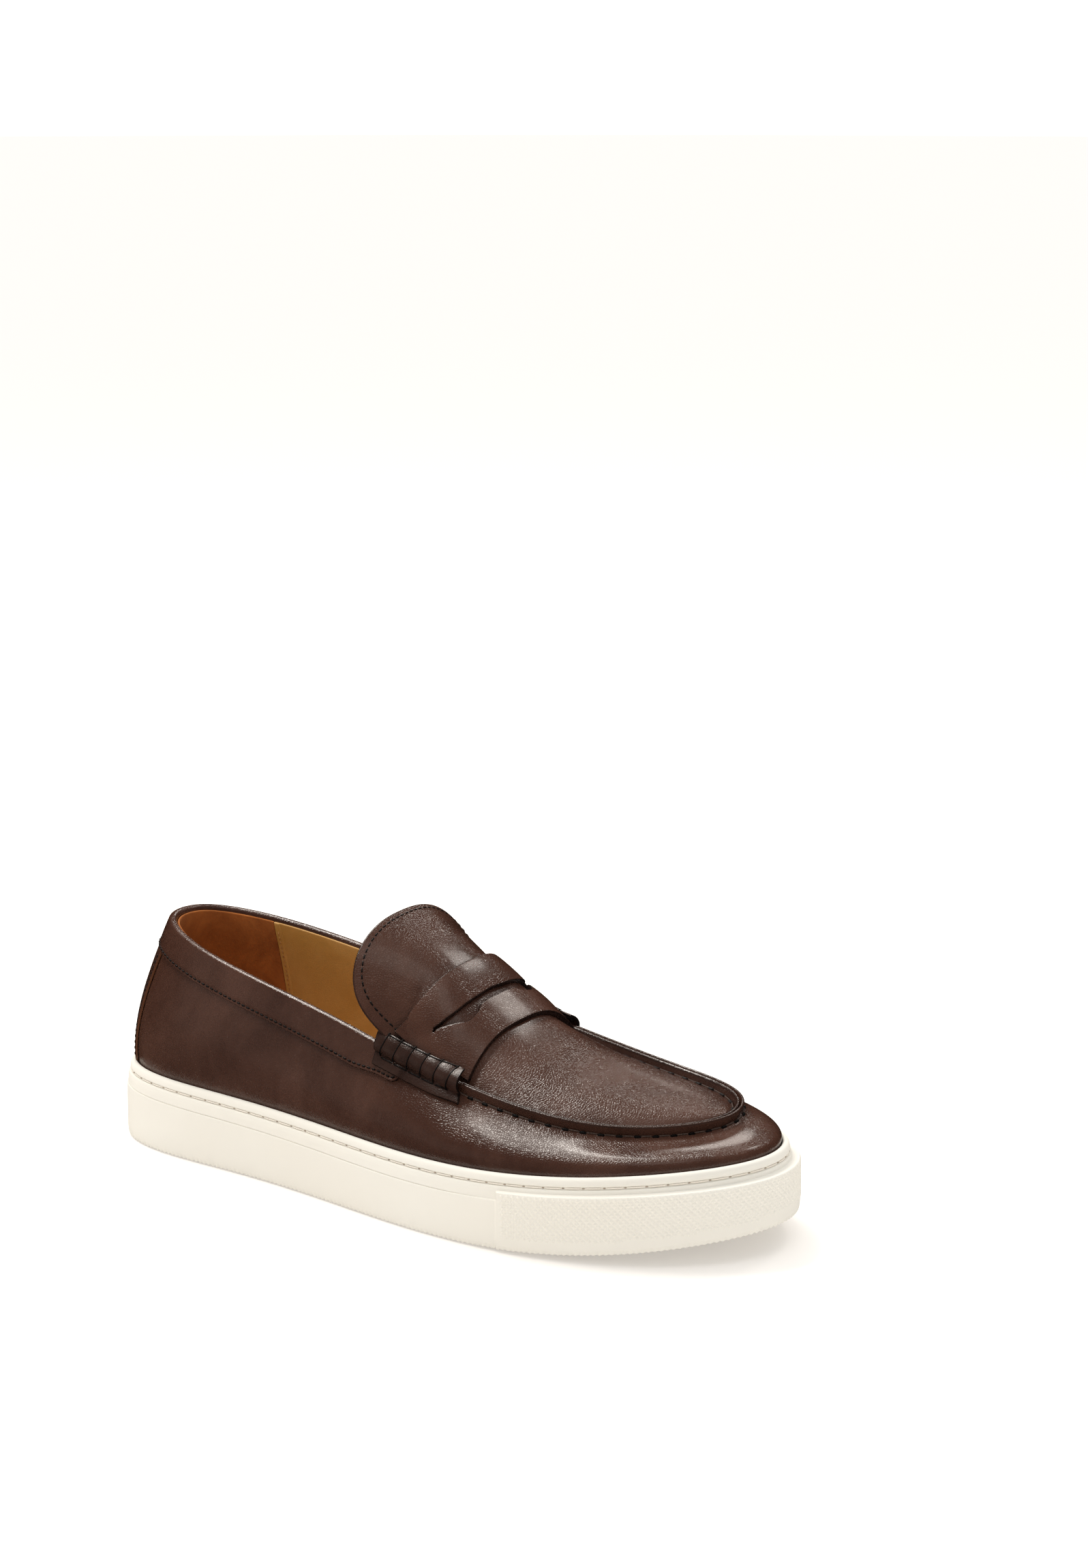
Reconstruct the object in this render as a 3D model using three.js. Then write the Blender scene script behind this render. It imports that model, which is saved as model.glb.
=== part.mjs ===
// Penny loafer on a cup sole, right foot, in millimetres.
// Frame: +Y runs from the heel to the toe, +X is the outer (lateral) side, +Z is up.
// The origin is the middle of the footprint on the floor.
//
// Everything hangs on two closed curves that run round the shoe with one parameter u:
// u = 0 at the back of the heel, 0.25 on the lateral side, about 0.52 at the toe, 0.75 on the medial side.
// FEATHER is where the upper enters the rubber cup. TOP is the collar edge behind the strap and the
// crest of the moccasin seam in front of it. Both are uniform periodic cubic B-splines.
import * as THREE from "three";

// ---------------------------------------------------------------- driving dimensions

// Control points of the feather line: x, y, height of the rubber rim, height of the tread above the floor.
const FEATHER = [
  [-1, -152, 32, 0],
  [23, -146, 31.8, 0],
  [34, -119, 31.2, 0],
  [34.5, -77, 30.3, 0],
  [40, -31, 29.3, 0],
  [50, 18, 28.3, 0],
  [52, 65, 29.3, 0],
  [39, 115, 34, 4.5],
  [1, 156, 38.5, 13],
  [-40, 138, 36.5, 9],
  [-52, 95, 32, 2],
  [-47.5, 45, 28, 0],
  [-39, -1, 28.6, 0],
  [-35, -53, 29.8, 0],
  [-36, -109, 31, 0],
  [-25, -146, 31.9, 0],
];

// Control points of the collar edge and seam crest: x, y, z.
const TOP = [
  [-5, -138, 94],
  [12, -133, 93.5],
  [22.5, -108, 86.5],
  [26, -69, 78.5],
  [28.5, -27, 70],
  [33, 13, 60],
  [36, 53, 52.5],
  [28, 95, 46],
  [-6.5, 133, 47.5],
  [-33.5, 123.5, 51.5],
  [-39.5, 82, 53.5],
  [-37, 37.5, 62.5],
  [-35.5, -3.5, 70.5],
  [-34, -48, 79.5],
  [-32, -100, 88],
  [-21.5, -133, 92.5],
];

// How far the wall leans inward at its top, in degrees from upright, at the same sixteen stations.
const TOP_LEAN = [24, 22, 14, 8, 12, 24, 42, 58, 66, 60, 40, 22, 12, 8, 14, 22];
// How far it swells outward where it leaves the rim, in degrees.
const BASE_SWELL = [2, 4, 8, 10, 12, 12, 12, 12, 12, 12, 12, 12, 12, 10, 8, 4];

const STATIONS = 64; // facets round the shoe
const TOE_U = 33 / 64; // the foremost point of the seam
const HALF_SPAN = 14 / 64; // from the toe back to the rear of the strap, each way

const LEATHER = 1.3; // outer leather
const GAP = 0.3; // clearance between two pieces that touch
const STIFFENER = 0.8; // heel counter and toe puff
const LINING = 0.9;
const LINING_FACE = LEATHER + STIFFENER + 2.5 * GAP; // depth of the lining's hidden face
const RIM_DEPTH = 17; // from the rim down to the lasted margin under the insole
const MARGIN_WIDTH = 14;
const TUCK_RADIUS = 5; // bend between the wall and the lasted margin

const SEAM_HEIGHT = 3.6; // height of the raised moccasin seam
const SEAM_HALF = 1.6; // half its thickness
const SEAM_LATERAL = [0.325, 0.347]; // u over which the seam rises out of the collar line
const SEAM_MEDIAL = [0.683, 0.705]; // u over which it sinks back into it
const SEAM_LEAN = 0.3; // how far the seam leans outward for each unit that it rises
const COLLAR_LIP = 0.35; // rise of the wall's edge where there is no seam
const COLLAR_HEIGHT = 14; // height of the strip sewn round the opening
const COLLAR_STEP = 3.2; // how far the wall stops below the folded collar edge

const STRAP_THICKNESS = 1.8;
const TONGUE_LENGTH = 26;
const TONGUE_SPREAD = 0.25; // sideways growth of the tongue per millimetre of its length
const TONGUE_RISE = 0.9; // and rise of its sides
const TONGUE_ROUNDNESS = 5;
const THREAD = 0.4; // radius of a sewing thread

// Height of the plug's ridge line along the foot: y, z.
const RIDGE_LINE = [
  [-43, 119],
  [-18, 107.5],
  [7, 94],
  [32, 75],
  [57, 62.5],
  [87, 54.5],
  [127, 47.5],
];

// ---------------------------------------------------------------- curves and frames

const UP = new THREE.Vector3(0, 0, 1);
const vec = (x, y, z) => new THREE.Vector3(x, y, z);
const mix = (a, b, t) => a + (b - a) * t;
const smooth = (from, to, x) => THREE.MathUtils.smoothstep(x, from, to);
const wrap = (u) => u - Math.floor(u);

// Value of a periodic cubic B-spline whose control values are the rows of a table.
function spline(rows, u) {
  const t = wrap(u) * rows.length;
  const i = Math.floor(t);
  const f = t - i;
  const weights = [
    (1 - f) ** 3 / 6,
    (3 * f ** 3 - 6 * f ** 2 + 4) / 6,
    (-3 * f ** 3 + 3 * f ** 2 + 3 * f + 1) / 6,
    f ** 3 / 6,
  ];
  const row = (k) => [rows[(i + k - 1 + rows.length) % rows.length]].flat();
  return row(1).map((_, c) => weights.reduce((sum, w, k) => sum + w * row(k)[c], 0));
}

// Stations of the common grid between two places, ends included.
function stations(from, to, count = STATIONS) {
  const list = [from];
  for (let k = Math.floor(from * count) + 1; k / count < to - 1e-6; k++) {
    if (k / count > from + 1e-6) list.push(k / count);
  }
  list.push(to);
  return list;
}

const feather = (u) => spline(FEATHER, u);
const top = (u) => vec(...spline(TOP, u));

// Outward horizontal normal of the feather line.
function outward(u) {
  const step = 1 / 512;
  const [x0, y0] = feather(u - step);
  const [x1, y1] = feather(u + step);
  return vec(y1 - y0, x0 - x1, 0).normalize();
}

// 1 along the raised moccasin seam, 0 along the collar and under the strap ends.
const seamShare = (u) => smooth(...SEAM_LATERAL, wrap(u)) * (1 - smooth(...SEAM_MEDIAL, wrap(u)));

const seamDirection = (u) => UP.clone().addScaledVector(outward(u), SEAM_LEAN).normalize();
const seamRise = (u) => mix(COLLAR_LIP, SEAM_HEIGHT, seamShare(u));

const SKEW_KEPT = 0.8; // share of the fore and aft shift between rim and top spread up the wall

// Where the wall's outer face ends and the seam's turned-up lip starts.
function wallTop(u) {
  return top(u)
    .addScaledVector(outward(u), SEAM_HALF * seamShare(u))
    .addScaledVector(seamDirection(u), -seamRise(u));
}

// Outer face of the wall. w runs from -3 (edge of the lasted margin) through -2 and -1 (the tuck),
// 0 (the rim) and 1 (top of the wall) to 2 (crest of the seam).
function wallPoint(u, w) {
  const [x, y, rim] = feather(u);
  const n = outward(u);
  const rimPoint = vec(x, y, rim);
  const at = (inset, drop) => rimPoint.clone().addScaledVector(n, -inset).setZ(rim - drop);
  if (w <= -2) return at(mix(TUCK_RADIUS, MARGIN_WIDTH, -2 - w), RIM_DEPTH);
  if (w <= -1) {
    const turn = ((-1 - w) * Math.PI) / 2;
    const drop = RIM_DEPTH - TUCK_RADIUS * (1 - Math.sin(turn));
    return at(TUCK_RADIUS * (1 - Math.cos(turn)), drop);
  }
  if (w <= 0) return at(0, -w * (RIM_DEPTH - TUCK_RADIUS));
  const end = wallTop(u);
  if (w > 1) return end.addScaledVector(seamDirection(u), seamRise(u) * (w - 1));
  const reach = end.distanceTo(rimPoint);
  const swell = THREE.MathUtils.degToRad(spline(BASE_SWELL, u)[0]);
  const lean = THREE.MathUtils.degToRad(spline(TOP_LEAN, u)[0]);
  const along = vec(-n.y, n.x, 0);
  const skew = end.clone().sub(rimPoint).dot(along) * SKEW_KEPT;
  const leave = UP.clone().multiplyScalar(Math.cos(swell)).addScaledVector(n, Math.sin(swell));
  const arrive = UP.clone().multiplyScalar(Math.cos(lean)).addScaledVector(n, -Math.sin(lean));
  leave.multiplyScalar(reach).addScaledVector(along, skew);
  arrive.multiplyScalar(reach).addScaledVector(along, skew);
  const [w2, w3] = [w * w, w * w * w];
  return rimPoint
    .multiplyScalar(2 * w3 - 3 * w2 + 1)
    .addScaledVector(leave, w3 - 2 * w2 + w)
    .addScaledVector(end, 3 * w2 - 2 * w3)
    .addScaledVector(arrive, w3 - w2);
}

// A point at a given height above a surface, where surface(a, b) gives a point on it.
function above(surface, a, b, height, stepA, stepB) {
  const acrossA = surface(a + stepA, b).sub(surface(a - stepA, b));
  const acrossB = surface(a, b + stepB).sub(surface(a, b - stepB));
  const normal = acrossA.cross(acrossB).normalize();
  return surface(a, b).addScaledVector(normal, height);
}

const wall = (u, w, height) => above(wallPoint, u, w, height, 1 / 400, 0.03);
const wallLength = (u) => top(u).distanceTo(wallPoint(u, 0));
const below = (u, drop) => 1 - drop / wallLength(u); // w at a distance below the top

// ---------------------------------------------------------------- the plug: apron, instep and tongue

const SEARCH_STEPS = 24; // halvings in the two searches below

// Smooth curve through RIDGE_LINE, read as a height at y.
const ridgeCurve = new THREE.SplineCurve(RIDGE_LINE.map(([y, z]) => new THREE.Vector2(y, z)));
function ridgeHeight(y) {
  let [low, high] = [0, 1];
  for (let i = 0; i < SEARCH_STEPS; i++) {
    const middle = (low + high) / 2;
    if (ridgeCurve.getPoint(middle).x < y) low = middle;
    else high = middle;
  }
  return ridgeCurve.getPoint(low).y;
}

// Medial and lateral side of the plug's outer face at a station.
// s runs from 0 (toe) to 1 (rear of the strap), then to 2 (tip of the tongue).
function plugSides(s) {
  const t = Math.min(s, 1) * HALF_SPAN;
  const length = TONGUE_LENGTH * Math.max(s - 1, 0);
  return [-1, 1].map((sign) => {
    const u = TOE_U - sign * t;
    const share = seamShare(u);
    return top(u)
      .addScaledVector(outward(u), -SEAM_HALF * share)
      .addScaledVector(seamDirection(u), -SEAM_HEIGHT * share)
      .add(vec(sign * TONGUE_SPREAD * length, -length, TONGUE_RISE * length));
  });
}

// Outer face of the plug. a runs from -1 (medial edge) to 1 (lateral edge). Its crown is fuller
// in front of the tongue than on it.
const CROWN_POWER = [2.5, 2.9];
const CROWN_CHANGE = [-13, 12]; // y
function plugPoint(s, a) {
  const [medial, lateral] = plugSides(s);
  const point = medial.clone().lerp(lateral, (a + 1) / 2);
  const power = mix(...CROWN_POWER, smooth(...CROWN_CHANGE, point.y));
  const crown = ridgeHeight((medial.y + lateral.y) / 2) - (medial.z + lateral.z) / 2;
  point.z += crown * (1 - Math.abs(a) ** power);
  return point;
}

const PLUG_STEP = 0.004;
const plug = (s, a, height) => above(plugPoint, s, a, height, PLUG_STEP, PLUG_STEP);

// The station whose section crosses the ridge line at y.
function stationAt(y) {
  let [low, high] = [0, 2];
  for (let i = 0; i < SEARCH_STEPS; i++) {
    const middle = (low + high) / 2;
    const [medial, lateral] = plugSides(middle);
    if ((medial.y + lateral.y) / 2 > y) low = middle;
    else high = middle;
  }
  return low;
}

// The plug's outline as [s, a], lateral side first, then the medial side back to the toe.
const tongueArc = (angle) => [
  1 + Math.sin(angle) ** (2 / TONGUE_ROUNDNESS),
  Math.cos(angle) ** (2 / TONGUE_ROUNDNESS),
];
const TONGUE_ANGLES = [0.03, 0.15, 0.4, 0.75, 1.05, 1.3, 1.47, 1.55];
const lateralOutline = [
  ...stations(0.5 / 64, HALF_SPAN).map((t) => [t / HALF_SPAN, 1]),
  ...TONGUE_ANGLES.map(tongueArc),
];
const plugOutline = [...lateralOutline, ...lateralOutline.toReversed().map(([s, a]) => [s, -a])];

// The outline drawn in towards the middle: share 1 is the edge.
const drawnIn = (share) => plugOutline.map(([s, a]) => {
  const tongue = Math.max(s - 1, 0);
  return [s - tongue + tongue * share, a * share];
});

// ---------------------------------------------------------------- solids from rings of points

const group = new THREE.Group();

function material(color, roughness, metalness = 0) {
  return new THREE.MeshStandardMaterial({ color, roughness, metalness });
}
const brownLeather = material("#3d2a25", 0.42);
const suede = material("#8f5224", 0.95);
const tanLeather = material("#b98c5c", 0.6);
const rubber = material("#efebe0", 0.55);
const board = material("#b59a72", 0.85);
const foam = material("#d8cdb4", 0.9);
const threadBrown = material("#15100e", 0.7);
const threadCream = material("#e6dfcf", 0.7);

function add(name, points, faces, look) {
  const volume = faces.reduce((sum, [a, b, c]) => {
    return sum + points[a].clone().cross(points[b]).dot(points[c]);
  }, 0);
  const index = faces.flatMap(([a, b, c]) => (volume < 0 ? [a, c, b] : [a, b, c]));
  const geometry = new THREE.BufferGeometry().setFromPoints(points);
  geometry.setIndex(index);
  geometry.computeVertexNormals();
  const mesh = new THREE.Mesh(geometry, look);
  mesh.name = name;
  group.add(mesh);
}

// Quads between two neighbouring rows of points, as triangles.
function band(faces, from, to, count, closed) {
  const last = closed ? count : count - 1;
  for (let i = 0; i < last; i++) {
    const j = (i + 1) % count;
    faces.push([from + i, from + j, to + j], [from + i, to + j, to + i]);
  }
}

// A solid lofted through closed loops of points. Each end is closed by rungs between opposite
// points, so a loop runs up one side of the solid and down the other.
function loft(name, loops, look) {
  const count = loops[0].length;
  const faces = [];
  for (let k = 0; k + 1 < loops.length; k++) band(faces, k * count, (k + 1) * count, count, true);
  const close = (base, reverse) => {
    for (let i = 0; i < count / 2 - 1; i++) {
      const [a, b] = [base + i, base + i + 1];
      const [c, d] = [base + count - 1 - i, base + count - 2 - i];
      faces.push(reverse ? [a, d, b] : [a, b, d], reverse ? [a, c, d] : [a, d, c]);
    }
  };
  close(0, true);
  close((loops.length - 1) * count, false);
  add(name, loops.flat(), faces, look);
}

// A sheet of the wall between two stations. rows(u) lists w from bottom to top.
function wallSheet(name, from, to, rows, outer, inner, look) {
  const sections = stations(from, to).map((u) => {
    const list = rows(u);
    return [
      ...list.map((w) => wall(u, w, outer)),
      ...list.toReversed().map((w) => wall(u, w, inner)),
    ];
  });
  loft(name, sections, look);
}

// A thread lying along a path, as an extruded section.
const STEPS_PER_POINT = 1.4;
function thread(name, points, look, steps = Math.round(points.length * STEPS_PER_POINT), radius = THREAD) {
  const section = new THREE.Shape();
  section.absarc(0, 0, radius, 0, Math.PI * 2);
  const geometry = new THREE.ExtrudeGeometry(section, {
    steps,
    curveSegments: 3,
    extrudePath: new THREE.CatmullRomCurve3(points),
  });
  const mesh = new THREE.Mesh(geometry, look);
  mesh.name = name;
  group.add(mesh);
}

// ---------------------------------------------------------------- cup sole and insole

const RING = Array.from({ length: STATIONS }, (_, k) => k / STATIONS);
const FLOOR = 5; // thickness of the cup's floor
const BUMPER_STEP = 0.7; // how far the toe bumper stands out
const BUMPER_LATERAL = [0.36, 0.38]; // u over which it rises on the outer side
const BUMPER_MEDIAL = [0.63, 0.65];
const FLARE = [-0.6, 1.3]; // how far the cup's side is moved out at the heel and at the toe
const FLARE_FROM = 37; // y where the flare starts to grow
const FLARE_RUN = 110; // and the length over which it does
const STITCH_DROP = 3.55; // from the rim down to the sewn groove
const SOLE_THREAD = 0.35; // radius

const toeShare = (u) => THREE.MathUtils.clamp((feather(u)[1] - FLARE_FROM) / FLARE_RUN, 0, 1);
const bumperShare = (u) => smooth(...BUMPER_LATERAL, u) * (1 - smooth(...BUMPER_MEDIAL, u));

// A ring round the shoe: out is the distance outside the feather line, and height(rim, base) its level.
function ringAt(out, height) {
  return RING.map((u) => {
    const [x, y, rim, base] = feather(u);
    const reach = typeof out === "function" ? out(u) : out;
    return vec(x, y, 0).addScaledVector(outward(u), reach).setZ(height(rim, base));
  });
}

const fromRim = (drop) => (rim) => rim - drop;
const fromBase = (rise) => (rim, base) => base + rise;
const side = (out) => (u) => out + mix(...FLARE, toeShare(u)) + BUMPER_STEP * bumperShare(u);

loft(
  "cup_outsole",
  [
    ringAt(side(3.6), fromBase(0)),
    ringAt(side(4.9), fromBase(0.5)),
    ringAt(side(5.5), fromBase(1.8)),
    ringAt(side(5.7), fromRim(15)),
    ringAt(side(5.4), fromRim(9.9)),
    ringAt(4.7, fromRim(9.3)),
    ringAt(4.3, fromRim(6.5)),
    ringAt(3.5, fromRim(4.5)),
    ringAt(2.4, fromRim(4.1)),
    ringAt(2.4, fromRim(3)),
    ringAt(2.9, fromRim(2.6)),
    ringAt(2.1, fromRim(0.3)),
    ringAt(1.1, fromRim(-0.3)),
    ringAt(GAP, fromRim(0.3)),
    ringAt(GAP, fromBase(FLOOR)),
  ],
  rubber,
);

loft(
  "midsole_filler",
  [ringAt(-GAP, fromBase(FLOOR + GAP)), ringAt(-GAP, fromRim(RIM_DEPTH + 3 * GAP))],
  foam,
);
loft("insole_board", [ringAt(-6.2, fromRim(12.4)), ringAt(-6.2, fromRim(10.8))], board);
loft("footbed_foam", [ringAt(-4.3, fromRim(10.5)), ringAt(-4.3, fromRim(7.2))], foam);
loft("sock_lining", [ringAt(-4.3, fromRim(6.9)), ringAt(-4.3, fromRim(6))], tanLeather);

thread(
  "sole_thread",
  stations(0.003, 0.997, 96).map((u) => {
    const [x, y, rim] = feather(u);
    return vec(x, y, rim - STITCH_DROP).addScaledVector(outward(u), 3.3);
  }),
  threadCream,
  80,
  SOLE_THREAD,
);

// ---------------------------------------------------------------- wall of the upper

const HEEL_SEAM = 0.0007; // half the gap between two panels that meet, in u
const MEDIAL_SEAM = 47 / 64; // where the long vamp panel meets the short medial quarter
const LINING_SEAM_LATERAL = 8 / 64;
const LINING_SEAM_MEDIAL = 57 / 64;
const LINING_FRONT_LATERAL = 19 / 64;
const LINING_FRONT_MEDIAL = 47 / 64;

function panelRows(u) {
  const share = seamShare(u);
  const end = mix(below(u, COLLAR_STEP), 1, share);
  return [
    ...[-3, -2.5, -2, -1.5, -1, 0],
    ...[0.2, 0.4, 0.6, 0.8, 1].map((part) => part * end),
    mix(end + 0.004, 1.5, share),
    mix(end + 0.008, 2, share),
  ];
}
wallSheet("vamp_panel", HEEL_SEAM, MEDIAL_SEAM - HEEL_SEAM, panelRows, 0, -LEATHER, brownLeather);
wallSheet("medial_quarter", MEDIAL_SEAM + HEEL_SEAM, 1 - HEEL_SEAM, panelRows, 0, -LEATHER, brownLeather);

const APPLIED = 1.2; // thickness of a piece sewn on over the wall
const STAY_HALF = 5 / 64; // half the width of the stay, in u
const COUNTER_HALF = 10 / 64;
const COUNTER_DROP = 12; // the counter stops this far below the collar edge
const PUFF = [27 / 64, 40 / 64];

const stayRows = (u) => [0.05, 0.25, 0.45, 0.65, below(u, COLLAR_HEIGHT + 1)];
wallSheet("heel_stay", -STAY_HALF, STAY_HALF, stayRows, GAP + APPLIED, GAP, brownLeather);

const stiffener = [-LEATHER - GAP, -LEATHER - GAP - STIFFENER];
const counterRows = (u) => [-2.2, -1.6, -1, 0, 0.25, 0.5, below(u, COUNTER_DROP)];
wallSheet("heel_counter", -COUNTER_HALF, COUNTER_HALF, counterRows, ...stiffener, board);
const puffRows = () => [-2.2, -1.6, -1, 0, 0.25, 0.5, 0.8];
wallSheet("toe_puff", ...PUFF, puffRows, ...stiffener, board);

// Linings reach down to the insole board, and up to just under the folded collar edge or the seam.
const LINING_DROP = 6.2;
const LINING_UNDER_SEAM = 0.88; // w
function liningRows(u) {
  const underSeam = smooth(0.3, 0.35, u) * (1 - smooth(0.68, 0.73, u));
  const end = mix(below(u, LINING_DROP), LINING_UNDER_SEAM, underSeam);
  return [-2.4, -2, -1.5, -1, 0, ...[0.33, 0.66, 1].map((part) => part * end)];
}
// The suede's seams lean: from the collar down to the rim they run this much further forward, in u.
const LINING_LEAN = 0.022;
function liningSheet(name, [from, to], [leanFrom, leanTo], look) {
  const sections = stations(from + HEEL_SEAM, to - HEEL_SEAM).map((u) => {
    const lean = LINING_LEAN * mix(leanFrom, leanTo, (u - from) / (to - from));
    const list = liningRows(wrap(u));
    const place = (w, height) => wall(u + lean * (1 - THREE.MathUtils.clamp(w, 0, 1)), w, height);
    return [
      ...list.map((w) => place(w, -LINING_FACE)),
      ...list.toReversed().map((w) => place(w, -LINING_FACE - LINING)),
    ];
  });
  loft(name, sections, look);
}
liningSheet("heel_lining", [LINING_SEAM_MEDIAL - 1, LINING_SEAM_LATERAL], [-1, 1], suede);
liningSheet("lateral_quarter_lining", [LINING_SEAM_LATERAL, LINING_FRONT_LATERAL], [1, 0], tanLeather);
liningSheet("vamp_lining", [LINING_FRONT_LATERAL, LINING_FRONT_MEDIAL], [0, 0], tanLeather);
liningSheet("medial_quarter_lining", [LINING_FRONT_MEDIAL, LINING_SEAM_MEDIAL], [0, -1], tanLeather);

// ---------------------------------------------------------------- collar strip round the opening

const COLLAR_FROM = -0.2545; // medial end, where the beefroll starts
const COLLAR_TO = 0.2875;
const FOLD_CENTRE = [2.5, -1]; // distance below the top, distance outside the wall
const collarArc = (radius, turn) => [
  FOLD_CENTRE[0] - radius * Math.sin((turn * Math.PI) / 4),
  FOLD_CENTRE[1] + radius * Math.cos((turn * Math.PI) / 4),
];
const collarSection = [
  [COLLAR_HEIGHT, GAP + APPLIED],
  [10, GAP + APPLIED],
  [6, GAP + APPLIED],
  ...[0, 1, 2, 3, 4].map((turn) => collarArc(2.5, turn)),
  [5.6, FOLD_CENTRE[1] - 2.5],
  [5.6, FOLD_CENTRE[1] - 1.3],
  ...[4, 3, 2, 1, 0].map((turn) => collarArc(1.3, turn)),
  [6, GAP],
  [10, GAP],
  [COLLAR_HEIGHT, GAP],
];
loft(
  "collar_strip",
  stations(COLLAR_FROM, COLLAR_TO).map((u) => {
    return collarSection.map(([drop, out]) => wall(u, below(u, Math.max(drop, 0)), out));
  }),
  brownLeather,
);
thread(
  "collar_thread",
  stations(COLLAR_FROM + 0.004, COLLAR_TO - 0.004).map((u) => wall(u, below(u, 12.4), 2.3)),
  threadBrown,
);

// ---------------------------------------------------------------- plug with the tongue, and its lining

const PLUG_SHARES = [0.15, 0.4, 0.6, 0.78, 0.92, 1];
const plugRing = (share, height) => drawnIn(share).map(([s, a]) => plug(s, a, height));

// Share of the raised seam at a place on the outline.
const seamShareAt = ([s, a]) => (s > 1 ? 0 : seamShare(TOE_U - Math.sign(a) * s * HALF_SPAN));

// Turns the edge of a ring up: rise along the seam, and out away from the middle.
function turnedUp(height, rise, out) {
  const inner = plugRing(0.97, height);
  return plugRing(1, height).map((edge, k) => {
    const place = plugOutline[k];
    const share = seamShareAt(place);
    const away = edge.clone().sub(inner[k]);
    away.z *= 1 - share;
    away.normalize();
    const u = TOE_U - Math.sign(place[1]) * Math.min(place[0], 1) * HALF_SPAN;
    const lift = seamDirection(u).multiplyScalar(rise * share);
    return edge.add(lift).addScaledVector(away, mix(0.2, out, share));
  });
}
loft(
  "apron_plug",
  [
    ...PLUG_SHARES.map((share) => plugRing(share, 0)),
    turnedUp(-0.2, SEAM_HEIGHT + 0.2, 0.1),
    turnedUp(-0.6, SEAM_HEIGHT + 0.6, LEATHER),
    turnedUp(-LEATHER, 0, LEATHER),
    ...PLUG_SHARES.toReversed().slice(1).map((share) => plugRing(share, -LEATHER)),
  ],
  brownLeather,
);

const liningShares = PLUG_SHARES.slice(0, -1);
const plugLiningFace = LEATHER + 2.5 * GAP;
loft(
  "plug_lining",
  [
    ...liningShares.map((share) => plugRing(share, -plugLiningFace)),
    ...liningShares.toReversed().map((share) => plugRing(share, -plugLiningFace - LINING)),
  ],
  tanLeather,
);

const TONGUE_STITCH = 0.88;
thread(
  "tongue_thread",
  plugOutline
    .filter(([s]) => s > 1)
    .map(([s, a]) => plug(1 + (s - 1) * TONGUE_STITCH, a * TONGUE_STITCH, 0.8)),
  threadBrown,
);
const seamStations = stations(0.35, 0.682);
thread(
  "apron_thread_outer",
  seamStations.map((u) => wallPoint(u, 1.25).addScaledVector(outward(u), 0.8)),
  threadBrown,
);
thread(
  "apron_thread_inner",
  seamStations.map((u) => {
    const s = Math.max(Math.abs(TOE_U - u) / HALF_SPAN, 0.06);
    const reach = 1 - 1.6 / (4 + 36 * Math.min(s * 1.6, 1));
    return plug(s, Math.sign(TOE_U - u + 1e-9) * reach, 0.8);
  }),
  threadBrown,
);

// ---------------------------------------------------------------- penny strap

const STRAP_GAP = 0.55;
const STRAP_SIDE = 0.93; // where the strap goes under the beefrolls
const STRAP_FRONT = 37; // y
const strapRear = (a) => 10 - 11 * Math.abs(a) ** 3.4; // y
// Edges of the slot from the middle to a side: a, y.
const SLOT_REAR = [
  [0, 21.6],
  [0.15, 21.9],
  [0.3, 21.9],
  [0.45, 21.5],
  [0.56, 20.9],
  [0.65, 19.8],
  [0.73, 18.4],
  [0.79, 16.8],
];
const SLOT_FRONT = [
  [0, 24.4],
  [0.15, 24.3],
  [0.28, 24.5],
  [0.38, 25.7],
  [0.48, 26],
  [0.57, 25.2],
  [0.69, 21.6],
  [0.79, 17.6],
];
// Rounded tip of the slot, each point facing a place on the strap's side: a, y, y on the side.
const SLOT_TIP = [
  [0.8, 16.95, 7],
  [0.812, 17.05, 14],
  [0.812, 17.3, 21],
  [0.8, 17.45, 29],
];
const SLOT_REACH = 0.79; // where the strap's own outline has fanned out to its side
const onStrap = ([a, y], height) => plug(stationAt(y), a, height);
const bothSides = (edge) => [...edge.toReversed(), ...edge.slice(1).map(([a, y]) => [-a, y])];

// Pairs of slot edge and strap edge, once round the slot.
const fanned = (a) => (a * STRAP_SIDE) / SLOT_REACH;
const tip = (sign) => SLOT_TIP.map(([a, y, sideY]) => [[sign * a, y], [sign * STRAP_SIDE, sideY]]);
const strapPairs = [
  ...bothSides(SLOT_REAR).map(([a, y]) => [[a, y], [fanned(a), strapRear(fanned(a))]]),
  ...tip(-1),
  ...bothSides(SLOT_FRONT).toReversed().map(([a, y]) => [[a, y], [fanned(a), STRAP_FRONT]]),
  ...tip(1).toReversed(),
];
function strapSection([slot, edge]) {
  const across = (t) => [mix(slot[0], edge[0], t), mix(slot[1], edge[1], t)];
  const steps = [0, 0.5, 1];
  return [
    ...steps.map((t) => onStrap(across(t), STRAP_GAP + STRAP_THICKNESS)),
    ...steps.toReversed().map((t) => onStrap(across(t), STRAP_GAP)),
  ];
}
const strapSections = strapPairs.map(strapSection);
const strapFaces = [];
strapSections.forEach((section, k) => {
  const count = section.length;
  const next = (k + 1) % strapSections.length;
  band(strapFaces, k * count, next * count, count, true);
});
add("penny_strap", strapSections.flat(), strapFaces, brownLeather);

// ---------------------------------------------------------------- beefrolls

const ROLL_LENGTH = 0.0545; // in u
const ROLL_LATERAL = 0.2905;
const ROLL_MEDIAL = 0.688;
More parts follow.
